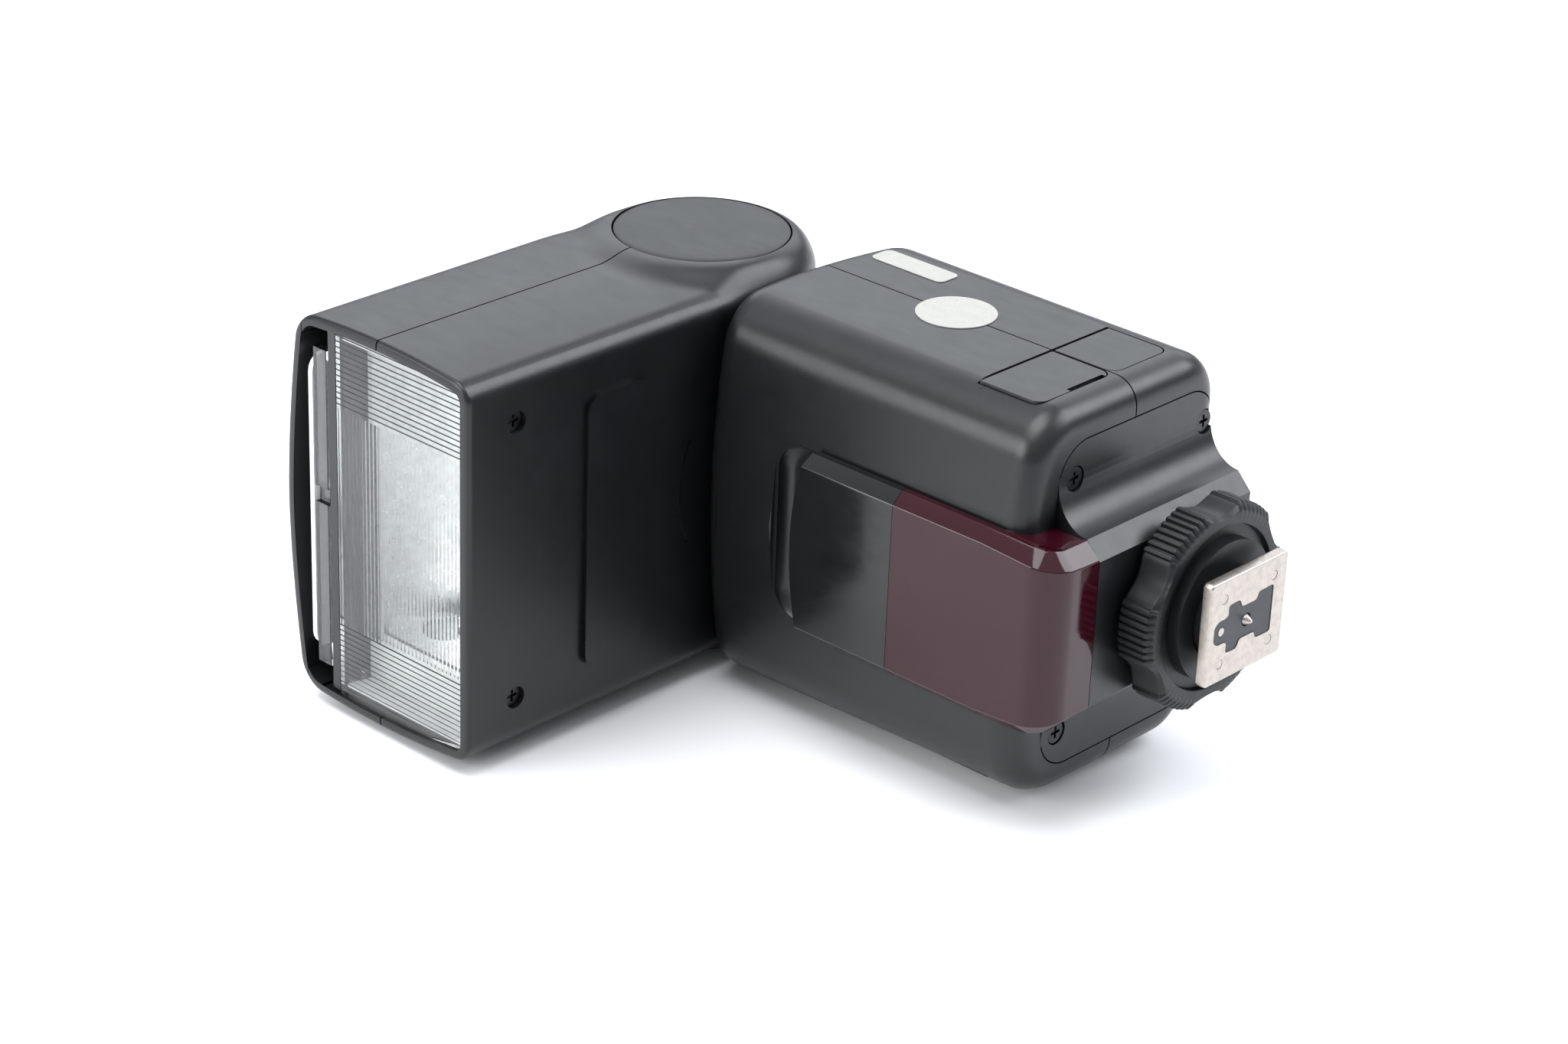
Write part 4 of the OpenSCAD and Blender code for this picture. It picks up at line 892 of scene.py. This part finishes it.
def build_head():
    form = head_cage("head", 0.0)
    cavity = head_cage("cavity", HEAD_WALL, front=4.0)
    cut(cavity, box("cutter", (-WIDE, AXIS_Y - SLOT_R - 1.8, 60), (WIDE, 60, TALL)))
    cut(form, cavity)
    cut(form, box("cutter", (-SLOT_HW, AXIS_Y - SLOT_HD, UNDER - 5), (SLOT_HW, AXIS_Y + 40, AXIS_Z)))
    cut(form, box("cutter", (-SLOT_HW, AXIS_Y, AXIS_Z - 5), (SLOT_HW, AXIS_Y + 40, AXIS_Z + SLOT_HD)))
    cut(form, rod("cutter", "x", -SLOT_HW, SLOT_HW, (AXIS_Y, AXIS_Z), SLOT_R, n=128))
    bores = [rod("cutter", "x", s * (CAP_X - 2.3), s * WIDE, (AXIS_Y, AXIS_Z), CAP_R + 0.16, n=160)
             for s in (-1, 1)]
    cut(form, joined("bores", bores))
    cut(form, rod("cutter", "x", -33, 33, (AXIS_Y, AXIS_Z), 7.15, n=48))
    screws = [rod("cutter", "z", UNDER - 1, UNDER + 1.95, at, 1.98, n=48) for at in HEAD_SCREWS]
    cut(form, joined("screws", screws + [arc_groove(), label_recess()]))
    upper, top = copy_of(form, "upper"), copy_of(form, "top")
    cut(form, box("cutter", (-WIDE, AHEAD, SEAM - SEAM_HALF), (WIDE, 60, TALL)))
    cut(upper, box("cutter", (-WIDE, AHEAD, 60), (WIDE, 60, SEAM + SEAM_HALF)))
    cut(upper, box("cutter", (-WIDE, AHEAD, COVER_Z - 0.08), (WIDE, COVER_BACK, TALL)))
    carve(top, "INTERSECT", box("cutter", (-WIDE, AHEAD, COVER_Z + 0.1), (WIDE, COVER_BACK - 0.2, TALL)))
    piece(form, "head_lower_half", "head", "shell_plastic", ["head_lower_shell"])
    piece(upper, "head_upper_half", "head", "shell_plastic", ["head_upper_shell"])
    piece(top, "head_top_lid", "head", "shell_plastic", ["head_top_cover"])


def build_caps():
    profile = [(0, 0.0), (4, -0.02), (8, -0.08), (12, -0.19), (14.4, -0.3), (15.2, -0.38),
               (15.6, -0.55), (15.78, -0.9), (15.78, -2.15), (0, -2.15)]
    for side, name in ((1, "left"), (-1, "right")):
        points = [(r, side * (CAP_X + h)) for r, h in profile]
        lathe(points, "x", (AXIS_Y, AXIS_Z), f"hinge_disc_{name}", "head", "cap_plastic",
              [f"hinge_cap_{name}"], n=144)


# ---------------------------------------------------------------- lens and reflector

RIB_DEPTH = 0.10
END_RIBS_LEFT, END_RIBS_RIGHT = 19.5, -21.0
RIB_PITCH, MIDDLE_RIB_PITCH = 1.0, 0.95
LOW_END = -24.5
SHEET = 0.8


def rib_lines(a, b, pitch):
    """Places and heights of a run of asymmetric ribs from a to b."""
    n = max(1, round((b - a) / pitch))
    step = (b - a) / n
    places, heights = [], []
    for k in range(n):
        places += [a + k * step, a + (k + 0.72) * step]
        heights += [0.0, 1.0]
    return places + [b], heights + [0.0]


def build_lens():
    """A clear plate, plain in front and ribbed behind: ribs along x in the middle and along z at both ends."""
    lo, hi = LENS_LO, LENS_HI
    x_left, h_left = rib_lines(END_RIBS_LEFT, hi[0] + 1, RIB_PITCH)
    x_right, h_right = rib_lines(lo[0] - 1, END_RIBS_RIGHT, RIB_PITCH)
    z_mid, h_mid = rib_lines(lo[2] - 0.5, hi[2] + 0.5, MIDDLE_RIB_PITCH)
    xs = x_right + [END_RIBS_RIGHT + 0.02, END_RIBS_LEFT - 0.02] + x_left
    across = h_right + [None, None] + h_left
    n, m = len(xs), len(z_mid)
    front = [(x, lo[1], z) for x in xs for z in z_mid]
    back = []
    for x, h in zip(xs, across):
        for z, k in zip(z_mid, h_mid):
            low = 0.6 * (1 - k) if h is None else 1 - h
            back.append((x, hi[1] - RIB_DEPTH * low, z))
    faces = []
    for i in range(n - 1):
        for j in range(m - 1):
            a, b, c, d = i * m + j, (i + 1) * m + j, (i + 1) * m + j + 1, i * m + j + 1
            faces += [(a, b, c, d), (a + n * m, d + n * m, c + n * m, b + n * m)]
    rim = [i * m for i in range(n)] + [(n - 1) * m + j for j in range(1, m)]
    rim += [i * m + m - 1 for i in range(n - 2, -1, -1)] + [j for j in range(m - 2, 0, -1)]
    for k, a in enumerate(rim):
        b = rim[(k + 1) % len(rim)]
        faces.append((a, b, b + n * m, a + n * m))
    lens = outward(new_object("lens", front + back, faces))
    shape = head_cage("shape", HEAD_WALL + 0.15, front=4.0)
    carve(lens, "INTERSECT", shape)
    carve(lens, "INTERSECT", box("cutter", (-WIDE, AHEAD, lo[2]), (WIDE, 0, hi[2])))
    piece(lens, "ribbed_lens", "head", "lens_clear", ["fresnel_lens"], smooth=12)


def build_reflector():
    """A silver trough behind the lens, its mouth set back, with a white surround."""
    hi = cad_box("reflector")[1]
    tube_lo, tube_hi = cad_box("flash_tube")
    axis_z, tube_y = (tube_lo[2] + tube_hi[2]) / 2, (tube_lo[1] + tube_hi[1]) / 2
    half, back, mouth = 28.6, hi[1] - 0.9, LENS_HI[1] + 6.4
    rise = (LENS_HI[2] - LENS_LO[2]) / 2 - 1.0
    depth = back - mouth

    def curve(grow):
        """The trough's section, larger by grow."""
        return [(back + grow - (depth + grow) * (abs(k) / 12) ** 2.1, axis_z + (rise + grow) * k / 12)
                for k in range(-12, 13)]

    inner, outer = curve(0.0), curve(SHEET)
    trough = prism("trough", inner + outer[::-1], "x", LOW_END - SHEET, half)
    piece(trough, "reflector_trough", "head", "mirror_metal", ["reflector"], smooth=35)
    for at, name in ((half, "left"), (LOW_END, "right")):
        wall = prism("wall", curve(-0.05), "x", at, at + math.copysign(SHEET, at))
        cut(wall, rod("cutter", "x", -WIDE, WIDE, (tube_y, axis_z), 2.9, n=40))
        if at < 0:
            oval = circle(1, 40) * (6.3, 4.8) + (tube_y - 6.4, axis_z + 5.2)
            cut(wall, prism("cutter", oval, "x", -WIDE, WIDE))
        piece(wall, f"reflector_end_{name}", "head", "mirror_metal", smooth=35)
    # A dark plate behind the low end wall and its oval hole: painted shade, so the view through the hole is dark like
    # the shaded inside of the head.
    shade = prism("shade", curve(0.7), "x", LOW_END - 1.9, LOW_END - 1.3)
    piece(shade, "reflector_end_painted_shade", "head", "tray_plastic", smooth=35)
    z0, z1 = LENS_LO[2] + 0.6, LENS_HI[2] - 0.2
    surround = prism("surround", [(-32.6, z0), (32.6, z0), (33.2, z1), (-33.2, z1)], "y", mouth - 0.1, mouth + 0.7)
    opening = box("cutter", (LOW_END, mouth - 2, axis_z - rise), (half, mouth + 2, axis_z + rise))
    cut(surround, opening)
    piece(surround, "reflector_surround", "head", "card_white", smooth=35)
    y0, y1, z0, z1 = LENS_HI[1] + 0.3, mouth - 0.2, LENS_LO[2] + 0.5, LENS_HI[2] - 0.4
    lip = joined("lip", [
        box("cutter", (-half - 4.2, y0, z0), (-half - 3.6, y1, z1)),
        box("cutter", (half + 3.6, y0, z0), (half + 4.2, y1, z1)),
        box("cutter", (-half - 3.5, y0, z0), (half + 3.5, y1, z0 + 0.6)),
    ])
    piece(lip, "reflector_side_cards", "head", "card_white", smooth=35)


# ---------------------------------------------------------------- build

build_body()
build_foot_cover()
build_panel()
build_window()
build_ring()
build_shoe()
build_flap(SYNC_LO, SYNC_HI, True, "sync_flap", "sync_port_cover", ["sync_port_cover"])
build_flap(POWER_LO, POWER_HI, False, "power_flap", "power_port_cover", ["power_port_cover"])
build_head()
build_caps()
build_lens()
build_reflector()

for obj in frame["nodes"].values():
    if not obj.hide_render:
        obj.data.polygons.foreach_set("use_smooth", [True] * len(obj.data.polygons))
        obj.data.set_sharp_from_angle(angle=math.radians(30))


# ---------------------------------------------------------------- floor and sizes

def add_floor():
    """A plain pale floor at the object's lowest point."""
    z = CAD_BOX[0].z
    mesh = bpy.data.meshes.new("floor")
    size = 6.0
    mesh.from_pydata([(-size, -size, z), (size, -size, z), (size, size, z), (-size, size, z)], [], [(0, 1, 2, 3)])
    floor = bpy.data.objects.new("floor", mesh)
    scene.collection.objects.link(floor)
    s = Shader("floor")
    s.colour(s.mix(s.noise(40, detail=3), (0.86, 0.86, 0.87), (0.83, 0.83, 0.84)))
    s.roughness(s.ramp(s.noise(20), (0.3, 0.5), (0.7, 0.6)))
    mesh.materials.append(s.material)


add_floor()
